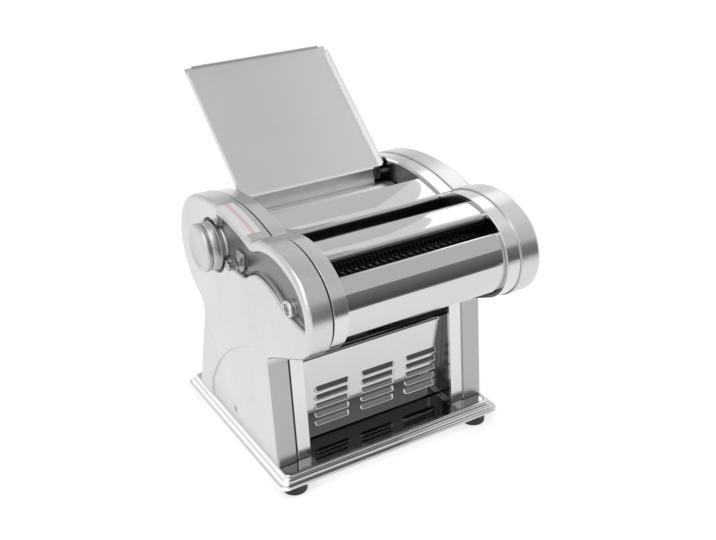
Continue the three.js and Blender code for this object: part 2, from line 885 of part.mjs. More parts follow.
function middleCover() {
  const radius = frontCrownRadius - bandInset - sheetThickness / 2;
  const top = crownArc(frontCrownCentre, radius, bandTwoRearY, bandTwoFrontY);
  const rear = top[0];
  const front = top[top.length - 1];
  return betweenPlates(sheetShape([
    point(rear.x - bandTwoLean, rear.y - bandTwoRearDrop),
    ...top,
    point(front.x + bandTwoLean, front.y - bandTwoFrontDrop),
  ], sheetThickness));
}

function frontShield() {
  const radius = noseRadius - shieldInset - sheetThickness / 2;
  const arc = arcPoints(noseCentre, radius, shieldTopAngle, shieldBottomAngle,
    arcSteps + arcSteps);
  const top = arc[0];
  const sheet = solid(betweenPlates(sheetShape([
    point(top.x + shieldTopCurl, top.y - shieldTopCurl),
    ...arc,
  ], sheetThickness)));
  const low = arc[arc.length - 1];
  const notch = new THREE.SphereGeometry(shieldNotchRadius, tieRodSides, arcSteps);
  notch.translate(0, low.x, low.y);
  return cutAway(sheet, [notch]);
}

function rearGuard() {
  const radius = rearNoseRadius - bandInset - sheetThickness / 2;
  const arc = arcPoints(rearNoseCentre, radius, rearGuardTopAngle, rearGuardBottomAngle,
    arcSteps + arcSteps);
  const low = arc[arc.length - 1];
  return betweenPlates(sheetShape([
    ...arc,
    point(low.x - rearGuardLip, low.y - rearGuardLip / 2),
  ], sheetThickness));
}

function chute() {
  return betweenPlates(sheetShape([
    point(ventTopY + ventFlangeDepth + chuteGap, ventTopZ + ventFlangeRise),
    point(chuteRiseY, chuteRiseZ),
    point(chuteEndY, chuteEndZ),
  ], sheetThickness));
}

place('roller_guard', rollerGuard(), polishedSteel());
place('middle_cover', middleCover(), polishedSteel());
place('front_shield', frontShield(), polishedSteel());
place('rear_guard', rearGuard(), polishedSteel());
place('noodle_chute', chute(), satinSteel());

// Louvres are drawn on an upright panel and then leaned with it.
function leanBack(geometry, bottomY, lean) {
  geometry.rotateX(lean);
  geometry.translate(0, bottomY, plateauHeight + sheetThickness / 2);
  return geometry;
}

function louvreHood(radius, x, up) {
  const hood = new THREE.CapsuleGeometry(radius, louvreLength - louvreRadius * 2, louvreCapSteps,
    louvreSides);
  hood.rotateZ(quarterTurn);
  hood.translate(x, 0, up);
  return leanBack(hood, ventBottomY, ventLean);
}

const ventRun = ventTopY - ventBottomY;
const ventRise = ventTopZ - plateauHeight - sheetThickness / 2;
const ventLean = Math.atan2(-ventRun, ventRise);
const louvreSpots = [-1, 0, 1].flatMap((group) => (
  Array.from({ length: louvreRows }, (unused, row) => ({
    x: louvreMiddleX + group * louvreGroupOffset,
    up: louvreFirstUp + row * louvrePitch,
  }))
));

function ventPanel() {
  const half = sheetThickness / 2;
  const sheet = solid(betweenPlates(sheetShape([
    point(ventBottomY + ventFootFlange, plateauHeight + half),
    point(ventBottomY, plateauHeight + half),
    point(ventTopY, ventTopZ),
    point(ventTopY + ventFlangeDepth, ventTopZ + ventFlangeRise),
  ], sheetThickness)));
  const front = leanBack(block(-innerFaceX, innerFaceX, -louvreRadius * 2, 0, 0,
    ventRise), ventBottomY, ventLean);
  const hoods = joined(louvreSpots.map(({ x, up }) => louvreHood(louvreRadius, x, up)));
  const cuts = louvreSpots.flatMap(({ x, up }) => [
    louvreHood(louvreRadius - louvreWall, x, up),
    leanBack(block(x - louvreLength, x + louvreLength, -louvreRadius * 2, -half,
      up - louvreRadius * 2, up - louvreRadius * louvreOpenShare), ventBottomY, ventLean),
  ]);
  return cutAway(sheet.add(hoods.intersect(solid(front))), cuts);
}

const rearPanelBottomY = legRearBottomY - rearPanelInset;
const rearLean = Math.atan(-legRearLean);

function onRearPanel(geometry) {
  return leanBack(geometry, rearPanelBottomY, rearLean);
}

function rearPanel() {
  const half = sheetThickness / 2;
  const topY = rearPanelBottomY + legRearLean * (rearPanelTopZ - plateauHeight - half);
  const sheet = solid(betweenPlates(sheetShape([
    point(rearPanelBottomY - ventFootFlange, plateauHeight + half),
    point(rearPanelBottomY, plateauHeight + half),
    point(topY, rearPanelTopZ),
  ], sheetThickness)));
  const cuts = [];
  for (let slot = 0; slot < rearSlotCount; slot += 1) {
    const x = (slot - (rearSlotCount - 1) / 2) * rearSlotPitch;
    cuts.push(onRearPanel(block(x - rearSlotWidth / 2, x + rearSlotWidth / 2, -rearSlotHeight,
      rearSlotHeight, rearSlotRise, rearSlotRise + rearSlotHeight)));
  }
  cuts.push(onRearPanel(switchBlock(switchCutoutGap, -switchDepth, switchDepth)));
  cuts.push(onRearPanel(glandCylinder(glandNeckRadius + glandGap, -glandLength, glandLength)));
  return cutAway(sheet, cuts);
}

function switchBlock(grow, from, to) {
  return block(switchX - switchWidth / 2 - grow, switchX + switchWidth / 2 + grow, from, to,
    switchUp - switchHeight / 2 - grow, switchUp + switchHeight / 2 + grow);
}

function glandCylinder(radius, from, to) {
  const geometry = new THREE.CylinderGeometry(radius, radius, to - from, tieRodSides);
  geometry.translate(glandX, (from + to) / 2, glandUp);
  return geometry;
}

function switchFrame() {
  const half = sheetThickness / 2;
  const body = joined([
    switchBlock(0, -switchDepth, half + switchBezelProud),
    switchBlock(switchBezel, half, half + switchBezelProud),
  ].map(onRearPanel));
  return cutAway(body, [
    onRearPanel(switchBlock(-switchBezel, -rockerDepth, switchDepth)),
  ]);
}

function rocker() {
  const shape = shapeThrough([
    point(-rockerHalfHeight, 0),
    point(-rockerHalfHeight, -rockerThickness),
    point(rockerHalfHeight, -rockerThickness),
    point(rockerHalfHeight, 0),
    point(0, -rockerDish),
  ].map((spot) => point(spot.y, spot.x)));
  const half = switchWidth / 2 - switchBezel - rockerGap;
  const geometry = extrudeAlongX(shape, -half, half);
  geometry.rotateX(rockerAngle);
  geometry.translate(switchX, rockerProud, switchUp);
  return onRearPanel(geometry);
}

function cableGland() {
  const half = sheetThickness / 2;
  const body = joined([
    glandCylinder(glandRadius, half, half + glandFlange),
    glandCylinder(glandNeckRadius, -glandLength, half + glandLength),
  ].map(onRearPanel));
  return cutAway(body, [
    onRearPanel(glandCylinder(glandBoreRadius, -glandLength * 2, glandLength * 2)),
  ]);
}

place('vent_panel', ventPanel(), polishedSteel());
place('rear_panel', rearPanel(), satinSteel());
place('switch_frame', switchFrame(), blackPlastic());
place('switch_rocker', rocker(), blackPlastic());
place('cable_gland', cableGland(), blackPlastic());

// Feed tray and the brackets it stands on.

function trayBracket(side) {
  const top = trayCreaseZ;
  return solid(block(...spanOn(side, tongueHalfWidth + bracketGap, innerFaceX),
    trayCreaseY - bracketDepth / 2, trayCreaseY + bracketDepth / 2, top - bracketHeight, top));
}

function feedTray() {
  const rise = point(trayRunY, trayRiseZ);
  const upward = rise.clone().normalize();
  const outward = point(-upward.y, upward.x);
  const crease = point(trayCreaseY, trayCreaseZ);
  const top = crease.clone().add(rise);
  const tongue = sheetShape([
    point(crease.x - tongueLean, crease.y - tongueDrop),
    crease,
    top,
  ], trayThickness);
  const hem = sheetShape([
    top.clone().addScaledVector(upward, -trayThickness),
    top,
    top.clone().addScaledVector(outward, trayHemDepth),
  ], trayThickness);
  const wing = sheetShape([crease.clone().addScaledVector(upward, -trayThickness * 2), top],
    trayThickness);
  const flange = shapeThrough([
    crease.clone().addScaledVector(upward, -trayThickness * 2),
    top.clone().addScaledVector(upward, -trayNotch),
    top.clone().addScaledVector(upward, -trayNotch).addScaledVector(outward, trayFlangeHeight),
    crease.clone().addScaledVector(outward, trayFlangeHeight),
  ]);
  const pieces = [
    extrudeAlongX(tongue, -tongueHalfWidth, tongueHalfWidth),
    extrudeAlongX(hem, trayNotch - trayHalfWidth, trayHalfWidth - trayNotch),
    extrudeAlongX(wing, -trayHalfWidth, trayHalfWidth),
    extrudeAlongX(flange, -trayHalfWidth, trayThickness - trayHalfWidth),
    extrudeAlongX(flange, trayHalfWidth - trayThickness, trayHalfWidth),
  ];
  const cuts = [-1, 1].map((side) => block(...spanOn(side, tongueHalfWidth, innerFaceX),
    trayCreaseY - bracketDepth * 2, trayCreaseY + bracketDepth * 2, 0, trayCreaseZ));
  return cutAway(joined(pieces), cuts);
}

place('tray_bracket_left', trayBracket(-1), blackPlastic());
place('tray_bracket_right', trayBracket(1), blackPlastic());
place('feed_tray', feedTray(), satinSteel());

// Rollers, cutters, combs, scrapers and tie rods.

// Solid of revolution along X from pairs of position and radius.
function spunAlongX(profile, centre, sides) {
  const points = profile.map(([x, radius]) => point(radius, x));
  const geometry = new THREE.LatheGeometry(points, sides);
  geometry.rotateZ(-quarterTurn);
  geometry.translate(0, centre.x, centre.y);
  return solid(geometry);
}

const rollerEndX = innerFaceX - rollerEndGap;
const journalEndX = gearEndX - gearEndWall;

function sheetRoller(centre) {
  return spunAlongX([
    [-innerFaceX - journalLeftReach, 0],
    [-innerFaceX - journalLeftReach, journalRadius],
    [-rollerEndX, journalRadius],
    [-rollerEndX, rollerRadius],
    [rollerEndX, rollerRadius],
    [rollerEndX, journalRadius],
    [journalEndX, journalRadius],
    [journalEndX, 0],
  ], centre, rollerSides);
}

function ringCentres(pitch, shifted) {
  const count = Math.floor((rollerEndX * 2) / pitch) - 1;
  const start = (shifted ? pitch / 2 : 0) - (count * pitch) / 2;
  return Array.from({ length: count }, (unused, index) => start + (index + cutterShare) * pitch);
}

function cutterRoller(centre, pitch, shifted) {
  const half = pitch / 4 - ringSideClearance / 2;
  const rings = ringCentres(pitch, shifted).flatMap((x) => [
    [x - half, coreRadius],
    [x - half, ringRadius],
    [x + half, ringRadius],
    [x + half, coreRadius],
  ]);
  return spunAlongX([
    [-innerFaceX - journalLeftReach, 0],
    [-innerFaceX - journalLeftReach, cutterJournalRadius],
    [-rollerEndX, cutterJournalRadius],
    [-rollerEndX, coreRadius],
    ...rings,
    [rollerEndX, coreRadius],
    [rollerEndX, cutterJournalRadius],
    [journalEndX, cutterJournalRadius],
    [journalEndX, 0],
  ], centre, cutterSides);
}

// Flat strip across the machine, standing on a line that leaves the centre at an angle.
function radialStrip(outline, centre, angle, thickness) {
  const geometry = new THREE.ExtrudeGeometry(outline, { depth: thickness, bevelEnabled: false });
  geometry.translate(0, 0, -thickness / 2);
  const outward = new THREE.Vector3(0, Math.cos(angle), Math.sin(angle));
  const across = new THREE.Vector3(1, 0, 0);
  const normal = new THREE.Vector3().crossVectors(across, outward);
  geometry.applyMatrix4(new THREE.Matrix4().makeBasis(across, outward, normal));
  geometry.translate(0, centre.x, centre.y);
  return geometry;
}

function comb(centre, pitch, shifted, angle) {
  const near = ringRadius + combReach;
  const far = near + combBarDepth;
  const tip = coreRadius + combCoreClearance;
  const half = pitch / 4 + ringSideClearance / 2 - combFingerClearance;
  const fingers = ringCentres(pitch, shifted).slice(1).flatMap((x) => {
    const middle = x - pitch / 2;
    return [
      point(middle - half, near),
      point(middle - half, tip),
      point(middle + half, tip),
      point(middle + half, near),
    ];
  });
  const outline = new THREE.Shape([
    point(innerFaceX, near),
    point(innerFaceX, far),
    point(-innerFaceX, far),
    point(-innerFaceX, near),
    ...fingers,
  ]);
  return radialStrip(outline, centre, angle, combThickness);
}

function scraper(centre, angle) {
  const near = rollerRadius + scraperClearance;
  const far = near + scraperDepth;
  const outline = new THREE.Shape([
    point(-innerFaceX, near),
    point(innerFaceX, near),
    point(innerFaceX, far),
    point(-innerFaceX, far),
  ]);
  return radialStrip(outline, centre, angle, scraperThickness);
}

const cutters = [
  { name: 'fine_cutter_rear', centre: fineRear, pitch: finePitch, shifted: true,
    combAngle: combRearAngle },
  { name: 'fine_cutter_front', centre: fineFront, pitch: finePitch, shifted: false,
    combAngle: combFrontAngle },
  { name: 'wide_cutter_rear', centre: wideRear, pitch: widePitch, shifted: true,
    combAngle: combRearAngle },
  { name: 'wide_cutter_front', centre: wideFront, pitch: widePitch, shifted: false,
    combAngle: combOuterAngle },
];

place('sheet_roller_rear', sheetRoller(rearRoller), satinSteel());
place('sheet_roller_front', sheetRoller(frontRoller), satinSteel());
for (const { name, centre, pitch, shifted, combAngle } of cutters) {
  place(name, cutterRoller(centre, pitch, shifted), gearSteel());
  place(name.replace('cutter', 'comb'), comb(centre, pitch, shifted, combAngle), gearSteel());
}
place('scraper_rear', scraper(rearRoller, scraperAngle), gearSteel());
place('scraper_front', scraper(frontRoller, -Math.PI - scraperAngle), gearSteel());

const tieRods = { top: tieRodTop, rear: tieRodRear, low: tieRodLow };
for (const [word, [y, z]] of Object.entries(tieRods)) {
  place(`tie_rod_${word}`, cylinderAlongX(tieRodRadius, -innerFaceX, innerFaceX, point(y, z),
    tieRodSides), gearSteel());
}

// Gear train.

function gearOutline(teeth, phase) {
  const radius = pitchRadius(teeth);
  const pitchAngle = (Math.PI * 2) / teeth;
  const half = pitchAngle / 4 - toothBacklash / (radius * 2);
  const tipRadius = radius + gearModule * addendumShare;
  const rootRadius = radius - gearModule * dedendumShare;
  const tipHalf = half - ((tipRadius - radius) * Math.tan(pressureAngle)) / radius;
  const rootHalf = half + ((radius - rootRadius) * Math.tan(pressureAngle)) / radius;
  const centre = point(0, 0);
  const points = [];
  for (let tooth = 0; tooth < teeth; tooth += 1) {
    const middle = phase + tooth * pitchAngle;
    points.push(polar(centre, rootRadius, middle - rootHalf));
    points.push(polar(centre, tipRadius, middle - tipHalf));
    points.push(polar(centre, tipRadius, middle + tipHalf));
    points.push(polar(centre, rootRadius, middle + rootHalf));
  }
  return new THREE.Shape(points);
}

// Phase that puts a gap of the next gear over the tooth of the one it meshes with.
function meshingPhase(centre, teeth, phase, nextCentre, nextTeeth) {
  const direction = directionAngle(centre, nextCentre);
  const nextPitch = (Math.PI * 2) / nextTeeth;
  const share = ((direction - phase) * teeth) / (Math.PI * 2);
  return direction + Math.PI + share * nextPitch - nextPitch / 2;
}

function gear(teeth, centre, phase, boreRadius, boreEndX, collarRadius) {
  const wheel = extrudeAlongX(gearOutline(teeth, phase), gearStartX, gearEndX);
  wheel.translate(0, centre.x, centre.y);
  const body = joined([
    wheel,
    cylinderAlongX(collarRadius, plateOuterX, gearStartX, centre, tieRodSides),
  ]);
  return cutAway(body, [
    cylinderAlongX(boreRadius, innerFaceX, boreEndX, centre, tieRodSides),
  ]);
}

const wheels = {
  roller_gear_front: { centre: frontRoller, teeth: rollerTeeth, shaft: journalRadius },
  roller_gear_rear: { centre: rearRoller, teeth: rollerTeeth, shaft: journalRadius,
    after: 'roller_gear_front' },
  link_gear: { centre: linkGear, teeth: linkTeeth, after: 'roller_gear_front' },
  fine_gear_rear: { centre: fineRear, teeth: cutterTeeth, shaft: cutterJournalRadius,
    after: 'link_gear' },
  fine_gear_front: { centre: fineFront, teeth: cutterTeeth, shaft: cutterJournalRadius,
    after: 'fine_gear_rear' },
  bridge_gear: { centre: bridgeGear, teeth: bridgeTeeth, after: 'fine_gear_front' },
  wide_gear_rear: { centre: wideRear, teeth: cutterTeeth, shaft: cutterJournalRadius,
    after: 'bridge_gear' },
  wide_gear_front: { centre: wideFront, teeth: cutterTeeth, shaft: cutterJournalRadius,
    after: 'wide_gear_rear' },
  transfer_gear: { centre: transferGear, teeth: transferTeeth, after: 'roller_gear_front' },
  pinion: { centre: pinionGear, teeth: pinionTeeth, shaft: outputShaftRadius,
    after: 'transfer_gear' },
};

for (const [name, wheel] of Object.entries(wheels)) {
  const driver = wheels[wheel.after];
  wheel.phase = driver
    ? meshingPhase(driver.centre, driver.teeth, driver.phase, wheel.centre, wheel.teeth)
    : 0;
  const bore = (wheel.shaft ?? studRadius) + (wheel.shaft ? boreClearance : studRunGap);
  const boreEnd = wheel.shaft ? journalEndX : gearEndX + studProud;
  const collar = Math.min(bore + collarWall, pitchRadius(wheel.teeth) - gearModule * 2);
  place(name, gear(wheel.teeth, wheel.centre, wheel.phase, bore, boreEnd, collar), gearSteel());
}

// Motor and gearbox.

function motor() {
  const gearboxStartX = innerFaceX - gearboxWidth;
  const centre = point(motorY, motorZ);
  const startX = gearboxStartX - motorLength;
  return joined([
    cylinderAlongX(motorRadius, startX, gearboxStartX, centre, motorSides),
    cylinderAlongX(motorEndCapRadius, startX - motorEndCapLength, startX, centre, motorSides),
    block(startX + motorFootInset, gearboxStartX - motorFootInset, motorY - motorFootSpan / 2,
      motorY + motorFootSpan / 2, plateauHeight, motorZ),
  ]);
}

function gearbox() {
  return joined([
    block(innerFaceX - gearboxWidth, innerFaceX, pinionGear.x - gearboxMargin,
      motorY + gearboxMargin, motorZ - gearboxMargin, pinionGear.y + gearboxMargin),
  ]);
}

function outputShaft() {
  return cylinderAlongX(outputShaftRadius, innerFaceX, journalEndX, pinionGear, tieRodSides);
}

place('motor', motor(), gearSteel());
place('gearbox', gearbox(), blackPlastic());
place('output_shaft', outputShaft(), gearSteel());

// Thickness knob and index plunger.

const knobStartX = troughX + knobStandoff;
const knobCapX = knobStartX + knobCollarLength + knobGripLength + knobGrooveLength;
const knobEndX = knobCapX + knobCapLength;
const knobSocketX = knobStartX + knobSocketDepth;

function knob() {
  const ribs = [];
  const centre = point(0, 0);
  for (let rib = 0; rib < knobRibs; rib += 1) {
    const angle = (Math.PI * 2 * rib) / knobRibs;
    ribs.push(polar(centre, knobRadius, angle));
    ribs.push(polar(centre, knobRadius - knobRibDepth, angle + Math.PI / knobRibs));
  }
  const gripStart = knobStartX + knobCollarLength;
  const gripEnd = gripStart + knobGripLength;
  const grip = extrudeAlongX(new THREE.Shape(ribs), -gripEnd, -gripStart);
  grip.translate(0, rearRoller.x, rearRoller.y);
  const body = joined([
    discOn(-1, knobCollarRadius, knobStartX, gripStart, rearRoller, rollerSides),
    grip,
    discOn(-1, knobGrooveRadius, gripEnd, knobCapX, rearRoller, rollerSides),
    discOn(-1, knobFaceRadius, knobCapX, knobEndX, rearRoller, rollerSides),
  ]);
  return cutAway(body, [
    discOn(-1, knobDishRadius, knobEndX - knobDishDepth, knobEndX + knobDishDepth, rearRoller,
      rollerSides),
    discOn(-1, knobShaftRadius + boreClearance, 0, knobSocketX, rearRoller, tieRodSides),
  ]);
}

function knobShaft() {
  const body = joined([
    discOn(-1, knobBushRadius, innerFaceX, plateOuterX + knobBushProud, rearRoller, rollerSides),
    discOn(-1, knobShaftRadius, plateOuterX, knobSocketX, rearRoller, tieRodSides),
  ]);
  return cutAway(body, [
    discOn(-1, journalRadius + journalClearance, 0, innerFaceX + journalLeftReach
      + journalClearance, rearRoller, tieRodSides),
  ]);
}

function plungerCollar() {
  const seat = coverFaceX - troughDepth;
  const body = joined([
    discOn(-1, plungerCollarRadius, seat, seat + plungerCollarHeight, plungerCentre, tieRodSides),
    block(-seat - plungerCollarHeight, -seat, plungerCentre.x - indexTabWidth / 2,
      plungerCentre.x + indexTabWidth / 2, plungerCentre.y, plungerCentre.y + indexTabRise),
  ]);
  return cutAway(body, [
    discOn(-1, plungerStemRadius + journalClearance, 0, coverFaceX + coverDepth, plungerCentre,
      tieRodSides),
  ]);
}

function plunger() {
  const start = troughX + plungerCollarHeight + plungerTravel;
  return joined([
    discOn(-1, plungerStemRadius, start - plungerStemLength - plungerTravel, start, plungerCentre,
      tieRodSides),
    discOn(-1, plungerRadius, start, start + plungerLength / 2, plungerCentre, tieRodSides),
    discOn(-1, plungerTipRadius, start + plungerLength / 2, start + plungerLength, plungerCentre,
      tieRodSides),
  ]);
}

place('thickness_knob', knob(), satinAluminium());
place('knob_shaft', knobShaft(), gearSteel());
place('plunger_collar', plungerCollar(), satinAluminium());
place('index_plunger', plunger(), polishedSteel());

// The machine stands on its feet, centred over the origin.

const root = new THREE.Group();
root.name = 'pasta_maker';
root.add(machine);
machine.updateMatrixWorld(true);
const reach = new THREE.Box3().setFromObject(machine);
machine.position.set(
  -(reach.min.x + reach.max.x) / 2,
  -(reach.min.y + reach.max.y) / 2,
  -reach.min.z,
);
export default root;
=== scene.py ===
# %% [markdown]
# # Electric pasta maker
# A household machine that rolls dough between two smooth rollers and cuts it on two
# pairs of ringed cutters. The CAD frame gives every solid and every joint. This script
# puts finer skins over the solids that show, gives each piece its metal, and sets up a
# small studio. Sizes are written in millimetres and turned into metres in one place.

# %% Frame
import json
import math

import bmesh
import bpy
from mathutils import Matrix, Vector


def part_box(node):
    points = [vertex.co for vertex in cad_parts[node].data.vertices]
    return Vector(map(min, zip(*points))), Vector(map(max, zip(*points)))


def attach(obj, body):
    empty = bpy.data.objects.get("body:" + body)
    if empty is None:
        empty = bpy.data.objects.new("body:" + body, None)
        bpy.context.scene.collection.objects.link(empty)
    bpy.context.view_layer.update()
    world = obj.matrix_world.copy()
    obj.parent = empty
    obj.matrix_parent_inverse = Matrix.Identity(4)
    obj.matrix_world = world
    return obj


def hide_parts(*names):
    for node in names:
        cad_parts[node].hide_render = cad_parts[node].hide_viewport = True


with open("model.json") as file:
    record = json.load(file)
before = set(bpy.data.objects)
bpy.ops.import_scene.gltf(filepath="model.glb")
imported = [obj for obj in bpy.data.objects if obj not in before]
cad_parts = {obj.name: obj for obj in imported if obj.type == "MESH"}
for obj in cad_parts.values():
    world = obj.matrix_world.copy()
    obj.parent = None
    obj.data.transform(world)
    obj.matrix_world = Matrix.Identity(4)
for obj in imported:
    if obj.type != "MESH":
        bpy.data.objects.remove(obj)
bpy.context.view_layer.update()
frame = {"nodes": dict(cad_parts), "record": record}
scene = bpy.context.scene
scene.view_settings.view_transform = "Standard"
print("CAD nodes:", len(frame["nodes"]))

# %% [markdown]
# ## Where things are
# The sketches below use the machine's own millimetres: x from the middle of the rollers,
# y from the front lip of the base, z from the underside of that lip. The boxes of a
# roller and of the side plates say where that corner lies, so the skins follow the
# solids if these move.

# %% Machine coordinates
MM = 0.001
SAME_SPOT = 0.000001
FRONT_ROLLER = (84, 187)
REAR_ROLLER = (124, 187)
SIDES = ((-1, "left"), (1, "right"))


def find_home():
    """Row-frame place of the machine's zero point."""
    low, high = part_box("sheet_roller_front")
    middle_y = (low.y + high.y) / 2
    middle_z = (low.z + high.z) / 2
    inner_x = (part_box("side_plate_left")[1].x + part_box("side_plate_right")[0].x) / 2
    return Vector((inner_x, middle_y - FRONT_ROLLER[0] * MM, middle_z - FRONT_ROLLER[1] * MM))


home = find_home()


def at(x, y, z):
    """Row-frame point, in metres, of a machine point in millimetres."""
    return home + Vector((x, y, z)) * MM


def spot_of(point):
    """Machine point, in millimetres, of a row-frame point."""
    return (Vector(point) - home) / MM


print("machine zero:", [round(v, 5) for v in home])

# %% [markdown]
# ## Camera
# The photograph was taken from the front left, from above, at about a metre. A camera
# with square pixels was fitted to edges of the machine: it stands 31 degrees round from
# the front and looks down by 26, with a slight roll. No lens shift is needed.

# %% Camera
CAMERA_TURN = math.radians(-30.68)
CAMERA_RISE = math.radians(26.45)
CAMERA_ROLL = math.radians(1.20)
CAMERA_SPOT = (-417.7, -641.2, 564.7)
SENSOR = 36.0
FOCAL_PIXELS, PICTURE_WIDTH = 1022.9, 716
LENS = FOCAL_PIXELS / PICTURE_WIDTH * SENSOR


def camera_turn():
    """Rotation matrix of the camera, with its roll."""
    back = Vector((
        math.sin(CAMERA_TURN) * math.cos(CAMERA_RISE),
        -math.cos(CAMERA_TURN) * math.cos(CAMERA_RISE),
        math.sin(CAMERA_RISE),
    ))
    right = Vector((math.cos(CAMERA_TURN), math.sin(CAMERA_TURN), 0))
    up = back.cross(right)
    rolled_right = right * math.cos(CAMERA_ROLL) - up * math.sin(CAMERA_ROLL)
    rolled_up = right * math.sin(CAMERA_ROLL) + up * math.cos(CAMERA_ROLL)
    return Matrix((rolled_right, rolled_up, back)).transposed()


def add_camera():
    """Camera at the photograph's place."""
    lens = bpy.data.cameras.new("photo_camera")
    lens.lens = LENS
    lens.sensor_width = SENSOR
    lens.sensor_fit = "HORIZONTAL"
    lens.clip_start = 0.02
    lens.clip_end = 50
    camera = bpy.data.objects.new("photo_camera", lens)
    scene.collection.objects.link(camera)
    camera.matrix_world = Matrix.Translation(at(*CAMERA_SPOT)) @ camera_turn().to_4x4()
    scene.camera = camera
    return camera


camera = add_camera()
print("camera at", [round(v, 3) for v in camera.location])

# %% [markdown]
# ## Shader maths in Python
# A material is a small sum: grain plus smudges plus wear. Written as nodes by hand it
# turns into dozens of lines, so a socket is wrapped in a class that knows plus, minus and
# times. Every other node is made by one method, which sets the node up before it fills
# or links its sockets.

# %% Signals and finishes
class Signal:
    """An output socket that takes part in Python sums."""

    def __init__(self, tree, socket):
        self.tree = tree
        self.socket = socket

    def maths(self, operation, other=0.0):
        return self.tree.node("ShaderNodeMath", {"operation": operation}, {0: self, 1: other})

    def __add__(self, other):
        return self.maths("ADD", other)

    __radd__ = __add__

    def __mul__(self, other):
        return self.maths("MULTIPLY", other)

    __rmul__ = __mul__

    def __sub__(self, other):
        return self.maths("SUBTRACT", other)

    def __rsub__(self, other):
        return self * -1.0 + other

    def beside(self, output):
        """Another output of the same node."""
        return Signal(self.tree, self.socket.node.outputs[output])


class Shading:
    """A node tree that grows by calls."""

    def __init__(self, nodes):
        self.nodes = nodes.nodes
        self.links = nodes.links

    def fill(self, socket, value):
        """Links a signal to a socket, or sets a plain value."""
        if isinstance(value, Signal):
            self.links.new(value.socket, socket)
        else:
            socket.default_value = value

    def node(self, kind, settings=None, inputs=None, output=0):
        """Adds a node, sets it up, then fills or links its sockets."""
        made = self.nodes.new(kind)
        for name, value in (settings or {}).items():
            setattr(made, name, value)
        for name, value in (inputs or {}).items():
            self.fill(made.inputs[name], value)
        return Signal(self, made.outputs[output])

    def between(self, signal, low, high, new_low, new_high):
        """Signal moved from one range to another, and kept inside it."""
        return self.node("ShaderNodeMapRange", {"clamp": True}, {
            "Value": signal, "From Min": low, "From Max": high, "To Min": new_low,
            "To Max": new_high})

    def seen_by(self, *rays):
        """1 for the named kinds of ray, and 0 for the others."""
        seen = first = self.node("ShaderNodeLightPath", output=rays[0])
        for ray in rays[1:]:
            seen = seen.maths("MAXIMUM", first.beside(ray))
        return seen


# %% A finish
class Finish(Shading):
    """A material with one Principled shader."""

    def __init__(self, name, **constants):
        self.material = bpy.data.materials.new(name)
        self.material.use_nodes = True
        super().__init__(self.material.node_tree)
        self.shader = self.nodes["Principled BSDF"]
        for socket, value in constants.items():
            self.shader.inputs[socket].default_value = value

    def drive(self, socket, signal):
        """Links a signal to one of the shader's own sockets."""
        self.fill(self.shader.inputs[socket], signal)

    def roughen(self, signal, low, high, least, most):
        """Roughness that follows a signal."""
        self.drive("Roughness", self.between(signal, low, high, least, most))

    def colour(self, factor, first, second):
        """Base colour that runs from one colour to another."""
        self.drive("Base Color", self.blend(factor, first, second))

    def step(self, signal, off, on):
        """0 at one place and 1 at another, both in millimetres, with a run between."""
        return self.between(signal, off * MM, on * MM, 0.0, 1.0)

    def show(self, surface):
        """Links a shader other than the Principled one to the output."""
        self.fill(self.nodes["Material Output"].inputs["Surface"], surface)

    def place(self, centre=(0, 0, 0), scale=(1, 1, 1)):
        """Object coordinates in metres, moved and stretched."""
        spot = self.node("ShaderNodeTexCoord", output="Object")
        return self.node("ShaderNodeMapping", {"vector_type": "TEXTURE"}, {
            "Vector": spot, "Location": centre, "Scale": scale})

    def axes(self, centre=home):
        """Signals for x, y and z of the shaded point, in metres from a centre."""
        first = self.node("ShaderNodeSeparateXYZ", None, {0: self.place(centre=centre)})
        return [first.beside(axis) for axis in range(3)]

    def noise(self, vector, scale, detail=3.0, roughness=0.5):
        return self.node("ShaderNodeTexNoise", None, {
            "Vector": vector, "Scale": scale, "Detail": detail, "Roughness": roughness})

    def blend(self, factor, first, second):
        """Mixes two colours by a factor."""
        return self.node("ShaderNodeMix", {"data_type": "RGBA"},
                         {0: factor, 6: first, 7: second}, 2)

    def bump(self, height, distance, strength=0.5):
        """Turns a height in metres into relief on the shader's normal."""
        self.drive("Normal", self.node("ShaderNodeBump", None, {
            "Height": height, "Distance": distance, "Strength": strength}))

    def smudge(self):
        return self.noise(self.place(), 26.0, 4.0, 0.6)

    def wave(self):
        """The very slight wave of a rolled sheet."""
        self.bump(self.noise(self.place(), 9.0, 1.0), 0.0006, 0.35)

    def satin(self, rough, bright, dim, centre=(0, 0, 0)):
        """Cloudy roughness and a fine grain; gives the clouded colour."""
        cloud = self.noise(self.place(centre=centre), 14.0, 4.0, 0.55)
        grain = self.noise(self.place(scale=(0.04, 1.0, 0.04)), 900.0, 2.0)
        self.roughen(cloud * 0.8 + grain * 0.2, 0.3, 0.7, rough * 0.85, rough * 1.2)
        self.bump(grain * 0.6 + cloud * 0.4, 0.00006)
        return self.blend(self.between(cloud, 0.35, 0.7, 0.0, 1.0), bright, dim)

    def brushed(self, rough, scale):
        """Straight brush lines and broad clouds; gives the lines."""
        lines = self.noise(self.place(scale=scale), 1400.0, 3.0, 0.7)
        cloud = self.noise(self.place(), 7.0, 3.0)
        self.roughen(lines * 0.6 + cloud * 0.4, 0.3, 0.7, rough * 0.8, rough * 1.25)
        self.bump(lines, 0.00004)
        return lines


print("finish class ready")
